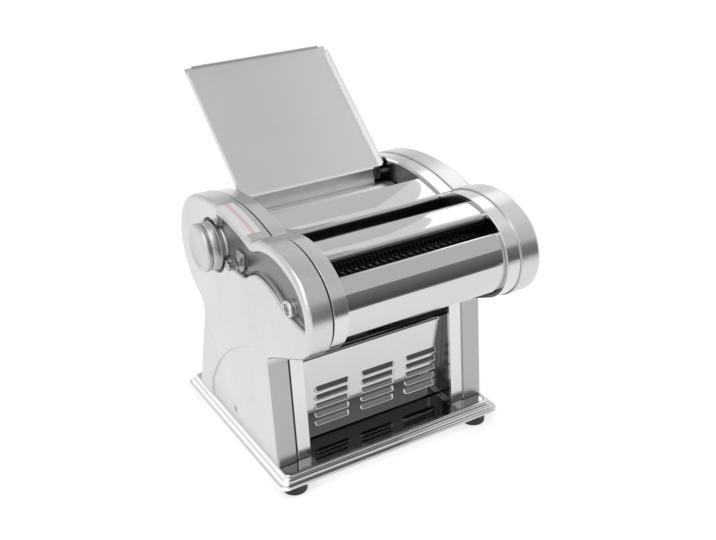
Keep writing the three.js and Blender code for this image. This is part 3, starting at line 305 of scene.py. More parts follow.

# %% [markdown]
# ## Metals
# The machine is nearly all steel. Three finishes make the difference: rolled sheet that
# is polished to a mirror, housings with a soft satin gloss, and brushed sheet on the
# feed tray. All use a full Metallic value, and what tells them apart is the roughness
# and the size of the grain, so each gets its own noise for smudges and its own grain.
# Where a bend or a recess lies in shade, or a run catches more light, a run along one axis
# blends the colour from one grey to another: this is painted shade and painted light.

# %% Metal finishes
def grey(level, warmth=0.0):
    """A nearly neutral colour; warmth shifts it towards brown."""
    return (level * (1 + warmth), level, level * (1 - warmth), 1.0)


def mirror_steel(name, level, rough):
    """Polished sheet: faint wiping marks and a very slight wave of the sheet."""
    finish = Finish(name, Metallic=1.0)
    smudge = finish.smudge()
    wipe = finish.noise(finish.place(scale=(0.5, 0.02, 0.02)), 12.0, 2.0)
    finish.roughen(smudge * 0.7 + wipe * 0.3, 0.35, 0.7, rough * 0.7, rough * 1.6)
    finish.colour(smudge, grey(level, 0.01), grey(level * 0.94, 0.01))
    finish.wave()
    return finish.material


def satin_steel(name, level, rough):
    """Softly glossy housing, with slightly darker smudges."""
    finish = Finish(name, Metallic=1.0)
    finish.drive("Base Color", finish.satin(rough, grey(level, 0.01), grey(level * 0.93, 0.01)))
    return finish.material


def tray_steel(name, level, lit_low_level, rough):
    """Brushed sheet of the tray, with a painted reflection: its lower run is coloured lighter, as
    it looks from the front.
    """
    finish = Finish(name, Metallic=1.0)
    upper = finish.step(finish.axes()[2], 216, 219)
    lines = finish.brushed(rough, (1.0, 0.01, 0.01))
    # painted reflection: lighter grey on the run below z = 216 mm
    finish.colour(upper * (0.94 + lines * 0.06), grey(lit_low_level), grey(level))
    return finish.material


def gear_steel(name, level, rough):
    """Machined and lightly oiled parts inside the machine."""
    finish = Finish(name, Metallic=1.0)
    oil = finish.noise(finish.place(), 60.0, 4.0)
    finish.roughen(oil, 0.3, 0.7, rough * 0.6, rough * 1.3)
    finish.colour(oil, grey(level, 0.02), grey(level * 0.7, 0.03))
    finish.bump(finish.noise(finish.place(scale=(0.03, 1.0, 1.0)), 700.0, 2.0), 0.00005, 0.4)
    return finish.material


polished = mirror_steel("polished_sheet", 0.60, 0.06)
housing_satin = satin_steel("housing_satin", 0.68, 0.25)
tray_brushed = tray_steel("tray_brushed", 0.63, 0.9, 0.3)
inner_gear = gear_steel("gear_steel", 0.3, 0.34)
print("metals:", polished.name, housing_satin.name, tray_brushed.name, inner_gear.name)

# %% [markdown]
# ## Rubber and plastic
# The feet are black rubber, and the switch, the gland and the tray's brackets are moulded
# plastic. Neither is quite black: moulded skin has a fine pimple grain that breaks up the
# highlight, and rubber is duller with dusty patches.

# %% Rubber and plastic finishes
def black_rubber():
    finish = Finish("foot_rubber")
    place = finish.place()
    dust = finish.noise(place, 180.0, 5.0, 0.65)
    grain = finish.noise(place, 2600.0, 2.0)
    finish.colour(finish.between(dust, 0.5, 0.8, 0.0, 1.0), grey(0.018), grey(0.05, 0.03))
    finish.roughen(dust, 0.3, 0.8, 0.5, 0.72)
    finish.bump(grain, 0.00012)
    return finish.material


def black_plastic():
    finish = Finish("moulded_plastic")
    place = finish.place()
    grain = finish.node("ShaderNodeTexVoronoi", {"feature": "SMOOTH_F1"},
                        {"Vector": place, "Scale": 1800.0}, "Distance")
    cloud = finish.noise(place, 40.0, 3.0)
    finish.colour(cloud, grey(0.022), grey(0.034, 0.01))
    finish.roughen(cloud, 0.3, 0.7, 0.36, 0.48)
    finish.bump(grain, 0.00009, 0.45)
    return finish.material


foot_rubber = black_rubber()
moulded = black_plastic()
print("soft finishes:", foot_rubber.name, moulded.name)

# %% [markdown]
# ## A first coat for every solid
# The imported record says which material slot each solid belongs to. Each slot gets one
# finish here, so that nothing is left grey. Skins that come later bring their own.

# %% Finishes of the CAD nodes
slot_finish = {
    "polished_steel": polished,
    "satin_steel": housing_satin,
    "gear_steel": inner_gear,
    "black_rubber": foot_rubber,
    "black_plastic": moulded,
    "satin_aluminium": housing_satin,
}
slot_of = {row["node"]: row["material_slot"] for row in frame["record"]["subparts"]}


def coat(name, material):
    """Gives a CAD node one material."""
    mesh = frame["nodes"][name].data
    mesh.materials.clear()
    mesh.materials.append(material)


for node_name, slot_name in slot_of.items():
    coat(node_name, slot_finish[slot_name])
print("coated", len(slot_of), "nodes")

# %% [markdown]
# ## Drawing in the side view
# Almost every shape of the machine is drawn in its side view, as points (y, z), and then
# given a length along x. Arcs are enough for that: the housing is a chain of nine arcs
# and lines that run smoothly into each other, the same chain as in the CAD source but
# with many more steps, so that a polished edge shows no corners.

# %% Arcs and smooth paths
def arc(centre, radius, start, end, steps):
    """Points on an arc in the side view; degrees run from +y towards +z."""
    turns = [math.radians(start + (end - start) * step / steps) for step in range(steps + 1)]
    return [(centre[0] + radius * math.cos(t), centre[1] + radius * math.sin(t)) for t in turns]


def polar(centre, radius, angle):
    return arc(centre, radius, angle, angle, 1)[0]


def bearing(start, end):
    """Direction from one point to another, in degrees."""
    return math.degrees(math.atan2(end[1] - start[1], end[0] - start[0]))


def circles_meet(first, first_radius, second, second_radius):
    """Upper point where two circles meet."""
    first, second = Vector(first), Vector(second)
    span = (second - first).length
    along = (first_radius ** 2 - second_radius ** 2 + span ** 2) / (2 * span)
    aside = math.sqrt(first_radius ** 2 - along ** 2)
    axis = (second - first).normalized()
    return tuple(first + axis * along + Vector((-axis.y, axis.x)) * aside)


def smooth_path(spots, steps):
    """Catmull-Rom curve through the points."""
    padded = [spots[0], *spots, spots[-1]]
    path = []
    for a, b, c, d in zip(padded, padded[1:], padded[2:], padded[3:]):
        for step in range(steps):
            t = step / steps
            path.append(tuple(
                0.5 * (2 * q + (r - p) * t + (2 * p - 5 * q + 4 * r - s) * t * t
                       + (3 * q - p - 3 * r + s) * t ** 3)
                for p, q, r, s in zip(a, b, c, d)))
    return path + [spots[-1]]


print("a quarter circle:", len(arc((0, 0), 1, 0, 90, 8)), "points")

# %% Housing outline
NOSE, NOSE_RADIUS = (-12, 184), 40
REAR_NOSE, REAR_NOSE_RADIUS = (146, 169), 54
NOSE_BLEND, REAR_BLEND, CHIN = 120, 74, 244.5
FRONT_CROWN_RADIUS, REAR_CROWN_RADIUS, SADDLE_RADIUS = 78, 200, 6
HEEL_RADIUS, THROAT_RADIUS = 16, 5
PLATEAU = 11
LEG_FRONT, LEG_REAR = Vector((21.5, PLATEAU)), Vector((188, PLATEAU))
LEG_LEAN = 0.075
FRONT_NORMAL = Vector((-1, LEG_LEAN)).normalized()
REAR_NORMAL = Vector((1, 0.3)).normalized()
FRONT_CROWN = polar(NOSE, NOSE_RADIUS - FRONT_CROWN_RADIUS, NOSE_BLEND)
REAR_CROWN = polar(REAR_NOSE, REAR_NOSE_RADIUS - REAR_CROWN_RADIUS, REAR_BLEND)
SADDLE = circles_meet(FRONT_CROWN, FRONT_CROWN_RADIUS + SADDLE_RADIUS,
                      REAR_CROWN, REAR_CROWN_RADIUS + SADDLE_RADIUS)
SADDLE_FRONT = bearing(FRONT_CROWN, SADDLE)
SADDLE_REAR = bearing(REAR_CROWN, SADDLE)


def throat_centre():
    """Centre of the small arc between the chin and the leg."""
    chin = Vector(polar((0, 0), 1, CHIN))
    chin_reach = chin.dot(Vector(NOSE)) + NOSE_RADIUS + THROAT_RADIUS
    leg_reach = FRONT_NORMAL.dot(LEG_FRONT) + THROAT_RADIUS
    scale = chin.x * FRONT_NORMAL.y - chin.y * FRONT_NORMAL.x
    return ((chin_reach * FRONT_NORMAL.y - chin.y * leg_reach) / scale,
            (chin.x * leg_reach - chin_reach * FRONT_NORMAL.x) / scale)


def heel_centre():
    """Centre of the arc that leads the rear lobe into the leg."""
    along = Vector((-REAR_NORMAL.y, REAR_NORMAL.x))
    start = LEG_REAR + REAR_NORMAL * HEEL_RADIUS
    away = start - Vector(REAR_NOSE)
    half = away.dot(along)
    rest = away.length_squared - (REAR_NOSE_RADIUS + HEEL_RADIUS) ** 2
    return tuple(start + along * (-half - math.sqrt(half ** 2 - rest)))


THROAT, HEEL = throat_centre(), heel_centre()


def leg_point(bottom, normal, inset, height):
    edge = bottom - normal * inset
    along = Vector((-normal.y, normal.x))
    return tuple(edge + along * ((height - edge.y) / along.y))


def crown_line(inset, nose_start):
    """The two lobes from a start angle on the nose to the end of the rear crown."""
    return (arc(NOSE, NOSE_RADIUS - inset, nose_start, NOSE_BLEND, 44)
            + arc(FRONT_CROWN, FRONT_CROWN_RADIUS - inset, NOSE_BLEND, SADDLE_FRONT, 20)[1:]
            + arc(SADDLE, SADDLE_RADIUS + inset, SADDLE_FRONT - 180, SADDLE_REAR - 180, 10)[1:])


def housing_outline(inset, floor_height=PLATEAU):
    """Closed outline of the housing, moved inwards by inset."""
    heel_turn = bearing(REAR_NOSE, HEEL)
    leg_turn = math.degrees(math.atan2(-REAR_NORMAL.y, -REAR_NORMAL.x)) + 360
    leg_side = math.degrees(math.atan2(-FRONT_NORMAL.y, -FRONT_NORMAL.x))
    return ([leg_point(LEG_FRONT, FRONT_NORMAL, inset, floor_height)]
            + arc(THROAT, THROAT_RADIUS + inset, leg_side, CHIN - 180, 8)
            + crown_line(inset, CHIN)
            + arc(REAR_CROWN, REAR_CROWN_RADIUS - inset, SADDLE_REAR, REAR_BLEND, 30)[1:]
            + arc(REAR_NOSE, REAR_NOSE_RADIUS - inset, REAR_BLEND, heel_turn, 50)[1:]
            + arc(HEEL, HEEL_RADIUS + inset, heel_turn + 180, leg_turn, 12)[1:]
            + [leg_point(LEG_REAR, REAR_NORMAL, inset, floor_height)])


print("outline points:", len(housing_outline(0)))

# %% [markdown]
# ## From a sketch to a piece
# Four helpers make nearly everything. A prism pushes a closed sketch along x. A turned
# piece spins a profile round a shaft. A bent sheet pushes an open line along x and lets
# Solidify give it the thickness of the steel. Carving takes other shapes away with the
# Boolean modifier, whose result is applied at once. A Bevel modifier then rounds what is
# left sharp, because a real edge always catches a thin line of light.

# %% Helpers for meshes
def faced(bm):
    """The same bmesh with its faces turned outwards."""
    bmesh.ops.recalc_face_normals(bm, faces=bm.faces)
    return bm


def line_of(bm, spots, close=False):
    """Corners and edges through a chain of row-frame points."""
    corners = [bm.verts.new(spot) for spot in spots]
    ends = corners[1:] + corners[:1] if close else corners[1:]
    return corners, [bm.edges.new(pair) for pair in zip(corners, ends)]


def move_grown(bm, grown, way):
    """Moves the corners that an extrusion made, and gives them."""
    corners = [part for part in grown["geom"] if isinstance(part, bmesh.types.BMVert)]
    bmesh.ops.translate(bm, vec=way, verts=corners)
    return corners


def outline_face(bm, spots):
    """Closes a chain of points into one face, and returns its corners."""
    corners, edges = line_of(bm, spots, close=True)
    bmesh.ops.contextual_create(bm, geom=corners + edges)
    return corners


def prism(sketch, start, end):
    """Closed sketch in the side view, pushed from x = start to x = end."""
    bm = bmesh.new()
    outline_face(bm, [at(start, *spot) for spot in sketch])
    grown = bmesh.ops.extrude_face_region(bm, geom=bm.faces[:])
    move_grown(bm, grown, ((end - start) * MM, 0, 0))
    return faced(bm)


def spun(spots, centre, axis, steps):
    """Line of machine points spun full circle about an axis through centre."""
    bm = bmesh.new()
    corners, line = line_of(bm, [at(*spot) for spot in spots])
    bmesh.ops.spin(bm, geom=corners + line, cent=at(*centre), axis=axis,
                   angle=math.tau, steps=steps, use_merge=True)
    bmesh.ops.remove_doubles(bm, verts=bm.verts, dist=SAME_SPOT)
    return faced(bm)


def turned(profile, centre, steps=64, side=1):
    """Profile of (x, radius) pairs spun about the line along x through centre (y, z)."""
    spots = [(side * x, centre[0] + radius, centre[1]) for x, radius in profile]
    return spun(spots, (0, *centre), (1, 0, 0), steps)


def turned_up(profile, x, y, steps):
    """Profile of (z, radius) pairs spun about an upright line."""
    return spun([(x + radius, y, z) for z, radius in profile], (x, y, 0), (0, 0, 1), steps)


def box_between(low, high):
    """Block between two machine points."""
    bm = bmesh.new()
    bmesh.ops.create_cube(bm, size=1)
    first, last = at(*low), at(*high)
    bmesh.ops.scale(bm, vec=last - first, verts=bm.verts)
    bmesh.ops.translate(bm, vec=(first + last) / 2, verts=bm.verts)
    return faced(bm)


# %% From bmesh to object
SMOOTH_BELOW = 32


def joined(*meshes):
    """One bmesh that holds the shells of several."""
    whole = bmesh.new()
    for bm in meshes:
        part = bpy.data.meshes.new("part")
        bm.to_mesh(part)
        bm.free()
        whole.from_mesh(part)
        bpy.data.meshes.remove(part)
    return whole


def shown(name, bm, material, smooth_below=SMOOTH_BELOW):
    """Makes an object of a bmesh, smooth but for edges sharper than an angle."""
    mesh = bpy.data.meshes.new(name)
    bm.to_mesh(mesh)
    bm.free()
    mesh.shade_smooth()
    mesh.set_sharp_from_angle(angle=math.radians(smooth_below))
    mesh.materials.append(material)
    thing = bpy.data.objects.new(name, mesh)
    scene.collection.objects.link(thing)
    return thing


def carve(thing, cutters, operation="DIFFERENCE", material=None):
    """Takes shapes away from an object, or adds them, and keeps the result."""
    helpers = []
    for bm in cutters:
        helper = shown("cutter", bm, material or thing.data.materials[0])
        helpers.append(helper)
        modifier = thing.modifiers.new("carve", "BOOLEAN")
        modifier.operation = operation
        modifier.solver = "EXACT" if material else "MANIFOLD"
        modifier.material_mode = "TRANSFER" if material else "INDEX"
        modifier.object = helper
    graph = bpy.context.evaluated_depsgraph_get()
    mesh = bpy.data.meshes.new_from_object(thing.evaluated_get(graph))
    thing.modifiers.clear()
    old = thing.data
    thing.data = mesh
    mesh.name = old.name
    for helper in helpers:
        bpy.data.meshes.remove(helper.data)
    bpy.data.meshes.remove(old)
    mesh.shade_smooth()
    mesh.set_sharp_from_angle(angle=math.radians(SMOOTH_BELOW))
    return thing


# %% Edges, walls and bodies
def eased(thing, width, segments=3, angle=35):
    """Rounds the sharp edges and keeps flat faces flat to the light."""
    bevel = thing.modifiers.new("edges", "BEVEL")
    bevel.width = width * MM
    bevel.segments = segments
    bevel.limit_method = "ANGLE"
    bevel.angle_limit = math.radians(angle)
    bevel.use_clamp_overlap = False
    bevel.miter_outer = "MITER_ARC"
    bevel.harden_normals = True
    return thing


def walled(thing, thickness, offset=-1, even=False):
    """Gives a sheet its thickness."""
    wall = thing.modifiers.new("wall", "SOLIDIFY")
    wall.thickness = thickness * MM
    wall.offset = offset
    wall.use_even_offset = even
    return thing


def levelled(thing):
    """Lets the large faces decide the normals, so that flat sheet mirrors like flat sheet."""
    weights = thing.modifiers.new("level", "WEIGHTED_NORMAL")
    weights.mode = "FACE_AREA"
    weights.weight = 50
    weights.keep_sharp = True
    return thing


def worn_by(thing, body, *nodes, slot=None):
    """The piece rides on a body and, where it stands for CAD nodes, replaces them."""
    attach(thing, body)
    if nodes:
        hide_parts(*nodes)
    print(thing.name, len(thing.data.vertices), "points")
    return thing


print("mesh helpers ready")

# %% [markdown]
# ## Covers
# Each end of the machine is closed by a pressed cover with two lobes. Its outer edge is
# rounded all the way round. Inside a narrow lip the side face drops into a trough, and
# from the trough the belly comes back out again. One prism with a bevelled rim gives the
# outside, and carving gives the trough, the round pocket of the knob, and the arched
# field on the leg.

# %% Cover sizes
COVER_START, COVER_FACE = {-1: 91.8, 1: 90.5}, 111.6
SWELL, EDGE_ROUND, LIP = 1.2, 7.6, 8.0
TROUGH_FACE, POCKET_FACE, CAVITY_FACE = COVER_FACE - 5, 103.2, 101.4
ARCH_DEPTH = 1.8
INNER_FACE, PLATE_OUTER, SEAM = 76.8, 79.4, 89.6
POCKET_RADIUS = 24.5
BOSS_RADIUS = 7.4
UPPER_SCREW = {-1: (-15, 186), 1: (-15, 160)}
LOWER_SCREW = (107, 24)
UPPER_SEAT, LOWER_SEAT = 109.0, 108.6
PLUNGER_SPOT = (73, 189)
BELLY_SHARES = [(0.801, -0.07), (0.72, -0.085), (0.625, -0.085), (0.53, -0.04), (0.449, 0.13),
                (0.368, 0.238), (0.279, 0.25), (0.176, 0.19), (0.088, 0.075), (0, -0.05),
                (-0.132, -0.1)]
ARCH_SHARES = [(0.838, -0.1), (0.825, 0.069), (0.79, 0.15), (0.676, 0.3), (0.544, 0.422),
               (0.406, 0.514), (0.267, 0.59), (0.177, 0.622), (0.039, 0.653), (-0.07, 0.66)]


def trough_outline():
    """Closed outline of the sunken band between the lip and the belly."""
    band_end = bearing(REAR_CROWN, (108, 209))
    reach = REAR_ROLLER[0] - NOSE[0]
    edge = [(NOSE[0] + a * reach, NOSE[1] + b * NOSE_RADIUS) for a, b in BELLY_SHARES]
    edge.append(polar(NOSE, NOSE_RADIUS - LIP, 188))
    return (crown_line(LIP, 188)
            + arc(REAR_CROWN, REAR_CROWN_RADIUS - LIP, SADDLE_REAR, band_end, 20)[1:]
            + [REAR_ROLLER] + smooth_path(edge, 6)[:-1])


def arch_outline():
    """Closed outline of the field that is set back on the leg."""
    width, rise = LEG_REAR.x - LEG_FRONT.x, NOSE[1] - PLATEAU
    arch = [(LEG_FRONT.x + a * width, PLATEAU + b * rise) for a, b in ARCH_SHARES]
    return smooth_path(arch, 6) + [(arch[-1][0], -PLATEAU), (arch[0][0], -PLATEAU)]


print("trough points:", len(trough_outline()))


# %% Covers
def trough_finish():
    """Satin steel with painted shade: darker at the bottom of the sunken band."""
    finish = Finish("trough_steel", Metallic=1.0)
    outer = finish.step(finish.axes()[0].maths("ABSOLUTE"), 106.2, 110.9)
    tone = finish.satin(0.25, grey(0.54, 0.008), grey(0.54 * 0.94, 0.012), home)
    # painted shade: the floor of the trough is coloured dark grey
    finish.colour(outer, grey(0.15, 0.01), tone)
    return finish.material


def cover_finish():
    """Satin steel of the covers, with painted shade: darker on the narrow faces below the nose."""
    finish = Finish("cover_steel", Metallic=1.0)
    _, y, z = finish.axes()
    depth = y - z * LEG_LEAN
    front = finish.step(depth, 22.2, 20.4)
    front = front * finish.step(depth, 17.4, 18.6)
    low = finish.step(z, 117, 112)
    tone = finish.satin(0.25, grey(0.61, 0.01), grey(0.61 * 0.93, 0.01))
    # painted shade: the leg's front face and the underside of the nose are coloured darker
    finish.colour(front * low, tone, grey(0.40, 0.02))
    return finish.material


cover_steel = cover_finish()
trough_steel = trough_finish()
QUARTER = [math.pi / 2 * step / 5 for step in range(6)]


# %% Cutters with rolled lips
def offset(sketch, distance):
    """Closed sketch moved outwards by distance, corner by corner."""
    count = len(sketch)
    area = sum(p[0] * q[1] - q[0] * p[1] for p, q in zip(sketch, sketch[1:] + sketch[:1]))
    sign = math.copysign(1, area)
    moved = []
    for index, spot in enumerate(sketch):
        before = Vector(spot) - Vector(sketch[index - 1])
        after = Vector(sketch[(index + 1) % count]) - Vector(spot)
        before.normalize()
        after.normalize()
        middle = (before + after).normalized()
        outward = Vector((middle.y, -middle.x)) * sign
        reach = distance / max(0.6, middle.dot(before))
        moved.append(tuple(Vector(spot) + outward * reach))
    return moved


def loft(rings):
    """Solid through closed rings of equal count, each given as (x, sketch)."""
    bm = bmesh.new()
    ring = outline_face(bm, [at(rings[0][0], *spot) for spot in rings[0][1]])
    for x, sketch in rings[1:]:
        edges = [bm.edges.get(pair) for pair in zip(ring, ring[1:] + ring[:1])]
        fresh = set(move_grown(bm, bmesh.ops.extrude_edge_only(bm, edges=edges), (0, 0, 0)))
        ring = [next(edge.other_vert(vert) for edge in vert.link_edges
                     if edge.other_vert(vert) in fresh) for vert in ring]
        for vert, spot in zip(ring, sketch):
            vert.co = at(x, *spot)
    last = [bm.edges.get(pair) for pair in zip(ring, ring[1:] + ring[:1])]
    bmesh.ops.contextual_create(bm, geom=ring + last)
    return faced(bm)


def sunken(sketch, side, floor, lip_round, floor_round):
    """Cutter for a sunken field: the lip rolls in and the wall meets the floor softly."""
    rings = [(floor + floor_round * (1 - math.cos(turn)), -floor_round * (1 - math.sin(turn)))
             for turn in QUARTER[:5]]
    rings += [(COVER_FACE + 0.03 - lip_round * (1 - math.sin(turn)),
               lip_round * (1 - math.cos(turn))) for turn in QUARTER]
    rings.append((COVER_FACE + 4, lip_round + 0.1))
    return loft([(side * x, offset(sketch, reach)) for x, reach in rings])


def cover_outside(side):
    """Prism of the outline with its outer rim rounded, cut off level with the base."""
    start = COVER_START[side]
    bm = prism(housing_outline(-SWELL, PLATEAU - 15), side * start, side * COVER_FACE)
    face_x = at(side * COVER_FACE, 0, 0).x
    rim = [e for e in bm.edges if all(abs(v.co.x - face_x) < SAME_SPOT for v in e.verts)]
    bmesh.ops.bevel(bm, geom=rim, offset=EDGE_ROUND * MM, offset_type="OFFSET", segments=9,
                    profile=0.5, affect="EDGES", material=-1, clamp_overlap=True)
    cut = bmesh.ops.bisect_plane(bm, geom=bm.verts[:] + bm.edges[:] + bm.faces[:],
                                 plane_co=at(0, 0, PLATEAU), plane_no=(0, 0, -1),
                                 clear_outer=True)
    border = [part for part in cut["geom_cut"] if isinstance(part, bmesh.types.BMEdge)]
    bmesh.ops.contextual_create(bm, geom=border)
    return faced(bm)


def disc(side, radius, start, end, centre, steps=48):
    """Cylinder along x, used for pockets and holes."""
    return turned([(start, 0), (start, radius), (end, radius), (end, 0)], centre, steps, side)


def rolled_pocket(side, radius, floor, centre, steps=96):
    """Round pocket whose rim rolls in."""
    profile = [(floor, 0), (floor, radius)]
    profile += [(COVER_FACE + 0.05 - 2.2 * (1 - math.sin(t)), radius + 2.2 * (1 - math.cos(t)))
                for t in QUARTER]
    profile += [(COVER_FACE + 4, radius + 2.3), (COVER_FACE + 4, 0)]
    return turned(profile, centre, steps, side)


def screw_boss(side):
    """Round boss that stands in the trough and carries the upper screw."""
    top = COVER_FACE - 0.12
    profile = [(105.4, 0), (105.4, BOSS_RADIUS + 0.4), (107.4, BOSS_RADIUS)]
    profile += [(top - 1.6 * (1 - math.sin(t)), BOSS_RADIUS - 1.6 * (1 - math.cos(t)))
                for t in QUARTER]
    return turned(profile + [(top, 0)], UPPER_SCREW[side], 61, side)


# %% Making the covers
def make_cover(side, word):
    cover = shown(f"cover_{word}_skin", cover_outside(side), cover_steel)
    far = COVER_FACE + 20
    carve(cover, [sunken(trough_outline(), side, TROUGH_FACE, 2.0, 2.9)], material=trough_steel)
    carve(cover, [rolled_pocket(side, POCKET_RADIUS, POCKET_FACE if side < 0 else TROUGH_FACE - 0.9,
                                REAR_ROLLER)])
    carve(cover, [sunken(arch_outline(), side, COVER_FACE - ARCH_DEPTH, 1.2, 0.5)])
    carve(cover, [prism(housing_outline(2.4, PLATEAU + 2.4), side * 80, side * CAVITY_FACE)])
    carve(cover, [screw_boss(side)], "UNION")
    carve(cover, [disc(side, 4.7, UPPER_SEAT, far, UPPER_SCREW[side], 53)])
    carve(cover, [disc(side, 2.9, LOWER_SEAT, far, LOWER_SCREW, 47)])
    if side < 0:
        carve(cover, [disc(side, 6.6, 80, far, REAR_ROLLER, 53)])
        carve(cover, [disc(side, 2.3, 80, far, PLUNGER_SPOT, 29)])
    print(word, "cover", len(cover.data.polygons), "faces")
    levelled(eased(cover, 0.35))
    return worn_by(cover, "frame", f"cover_{word}")


for side_sign, side_word in SIDES:
    make_cover(side_sign, side_word)

# %% [markdown]
# ## Side plates
# Between the covers and the rollers stand two deep dished plates. Only their rims show,
# as bright bands beside the dark seam, and the inner faces that mirror the sheets. The
# dish is an outline prism with a smaller one carved out of it, and the shafts get their
# bores. The inner face is inset first, so that it can take a much darker grey of its own:
# painted shade of the inside of the machine.

# %% Side plates
FINE_REAR, FINE_FRONT = (30, 192), (10, 192)
WIDE_REAR = (-15.5, 193)
WIDE_FRONT = polar(WIDE_REAR, 20, 200)
PINION_CENTRE = tuple(sum((spot_of(corner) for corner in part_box("pinion")), Vector()).yz / 2)


def make_side_plate(side, word):
    bm = prism(housing_outline(0), side * INNER_FACE, side * SEAM)
    face_x = at(side * INNER_FACE, 0, 0).x
    inner = [f for f in bm.faces if all(abs(v.co.x - face_x) < SAME_SPOT for v in f.verts)]
    bmesh.ops.inset_region(bm, faces=inner, thickness=3.2 * MM, use_even_offset=True)
    for face in inner:
        face.material_index = 1
    plate = shown(f"side_plate_{word}_skin", bm, plate_steel)
    plate.data.materials.append(inside_steel)
    bores = [(FRONT_ROLLER, 5.3), (FINE_REAR, 4.3), (FINE_FRONT, 4.3), (WIDE_REAR, 4.3),
             (WIDE_FRONT, 4.3), (REAR_ROLLER, 8.8 if side < 0 else 5.3)]
    if side > 0:
        bores.append((PINION_CENTRE, 5.3))
    dish = prism(housing_outline(1.8, PLATEAU + 1.8), side * PLATE_OUTER, side * 100)
    carve(plate, [dish] + [disc(side, radius, 70, 95, centre, 32) for centre, radius in bores])
    levelled(eased(plate, 0.45))
    return worn_by(plate, "frame", f"side_plate_{word}")


def make_seam_strip(side, word):
    """Strip between plate and cover: black on the left as painted shade in the seam, plate steel on
    the right, where the seam looks nearly closed.
    """
    # the left strip is black: painted shade of the seam
    finish = foot_rubber if side < 0 else plate_steel
    strip = shown(f"seam_strip_{word}", prism(housing_outline(0.25, PLATEAU + 0.3),
                                               side * 89.62, side * 92.2), finish)
    carve(strip, [prism(housing_outline(1.7, PLATEAU + 1.7), side * 85, side * 95)])
    return worn_by(strip, "frame", slot="black_rubber" if side < 0 else "satin_steel")


plate_steel = satin_steel("plate_steel", 0.66, 0.15)
# the inner faces are a much darker copy of the plate's steel: painted shade inside the machine
inside_steel = satin_steel("inside_steel", 0.13, 0.22)
for side_sign, side_word in SIDES:
    make_side_plate(side_sign, side_word)
    make_seam_strip(side_sign, side_word)

# %% [markdown]
# ## Bent sheets
# The bands on top, the shield round the front, the guard at the back and the chute are
# strips of thin polished sheet bent along x. A line of points is the middle of the
# sheet. The top edge of the shield is rolled in, which gives it its bright lip.

# %% Bent sheets
SHEET = 1.2
BAND_INSET = 3


def bent_sheet(name, line, material, node):
    """Open line in the side view, pushed along x and given a thickness."""
    bm = bmesh.new()
    edges = line_of(bm, [at(-INNER_FACE, *spot) for spot in line])[1]
    grown = bmesh.ops.extrude_edge_only(bm, edges=edges)
    move_grown(bm, grown, (2 * INNER_FACE * MM, 0, 0))
    thing = walled(shown(name, faced(bm), material), SHEET, 0, True)
    levelled(eased(thing, 0.3, 2, 50))
    return worn_by(thing, "frame", node)


def on_crown(centre, radius, y):
    """Angle at which an arc round centre passes over y."""
    return math.degrees(math.acos((y - centre[0]) / radius))


def band_line(crown, crown_radius, ends, steps, bend, bend_end):
    """Line along a crown between two y, with its front edge bent down by an arc."""
    radius = crown_radius - BAND_INSET - SHEET / 2
    back, edge = [on_crown(crown, radius, y) for y in ends]
    return (arc(crown, radius, back, edge, steps)
            + arc(polar(crown, radius - bend, edge), bend, edge, bend_end, 10)[1:])


def guard_line():
    line = band_line(REAR_CROWN, REAR_CROWN_RADIUS, (78, 50.4), 12, 4.6, 194)
    return line + [(line[-1][0] + 1.8, line[-1][1] - 7.4)]


def middle_line():
    line = band_line(FRONT_CROWN, FRONT_CROWN_RADIUS, (4.5, -15.4), 14, 4.2, 190)
    return [(line[0][0] + 1.2, line[0][1] - 4), *line, (line[-1][0] + 0.5, line[-1][1] - 3)]


def shield_line():
    radius = NOSE_RADIUS - 3.4 - SHEET / 2
    face = arc(NOSE, radius, 222, 132, 60)
    roll = arc(polar(NOSE, radius - 1.6, 132), 1.6, 132, -30, 10)
    return face + roll[1:]


def rear_guard_line():
    radius = REAR_NOSE_RADIUS - BAND_INSET - SHEET / 2
    face = arc(REAR_NOSE, radius, 86, -58, 60)
    return face + [(face[-1][0] - 9, face[-1][1] - 4.5)]


def skirted_steel(name, low, high):
    """Polished sheet whose bent-down edge is duller, and coloured darker than its top as painted
    shade.
    """
    finish = Finish(name, Metallic=1.0)
    lit = finish.step(finish.axes()[2], low, high)
    # painted shade on the bent-down edge
    finish.colour(lit, grey(0.12, 0.06), grey(0.60, 0.01))
    finish.drive("Roughness", (1.0 - lit) * 0.32 + finish.smudge() * 0.07)
    finish.wave()
    return finish.material


for sheet_name, sheet_line, sheet_finish in (
        ("roller_guard", guard_line(), skirted_steel("guard_steel", 210.5, 217.0)),
        ("middle_cover", middle_line(), skirted_steel("middle_steel", 217.0, 222.4)),
        ("front_shield", shield_line(), polished), ("rear_guard", rear_guard_line(), polished),
        ("noodle_chute", [(49, 103.5), (96, 146), (150, 152)], housing_satin)):
    bent_sheet(f"{sheet_name}_skin", sheet_line, sheet_finish, sheet_name)

# %% [markdown]
# ## Louvred front panel
# Under the front lobe a polished sheet closes the machine, with three groups of five
# louvres. Each louvre is pressed outwards: flush at its top, standing out most at its
# lower edge, where the slit is open. A grid is bent into that hood, and the lower lip
# turns in a little, which gives the bright line under every louvre. The sheet behind is
# pushed along x column by column, and the rows that are slit are left out, so no cut
# leaves a crease in the mirror.

# %% Louvres
VENT_BOTTOM, VENT_TOP = Vector((43.6, PLATEAU + SHEET / 2)), Vector((38.6, 100))
VENT_UP = (VENT_TOP - VENT_BOTTOM).normalized()
VENT_OUT = Vector((-VENT_UP.y, VENT_UP.x))
LOUVRE_LENGTH, LOUVRE_RADIUS = 38, 3.7
LOUVRE_SPOTS = [(5.2 + group * 48.6, 16.5 + row * 9.4)
                for group in (-1, 0, 1) for row in range(5)]
SLIT_HALF, SLIT_DROP, SLIT_RISE = LOUVRE_LENGTH / 2 - 3.2, 1.4, 2.1


def on_vent(x, up, out):
    """Machine point on the front panel, lifted off it by out."""
    spot = VENT_BOTTOM + VENT_UP * up + VENT_OUT * out
    return at(x, spot.x, spot.y)


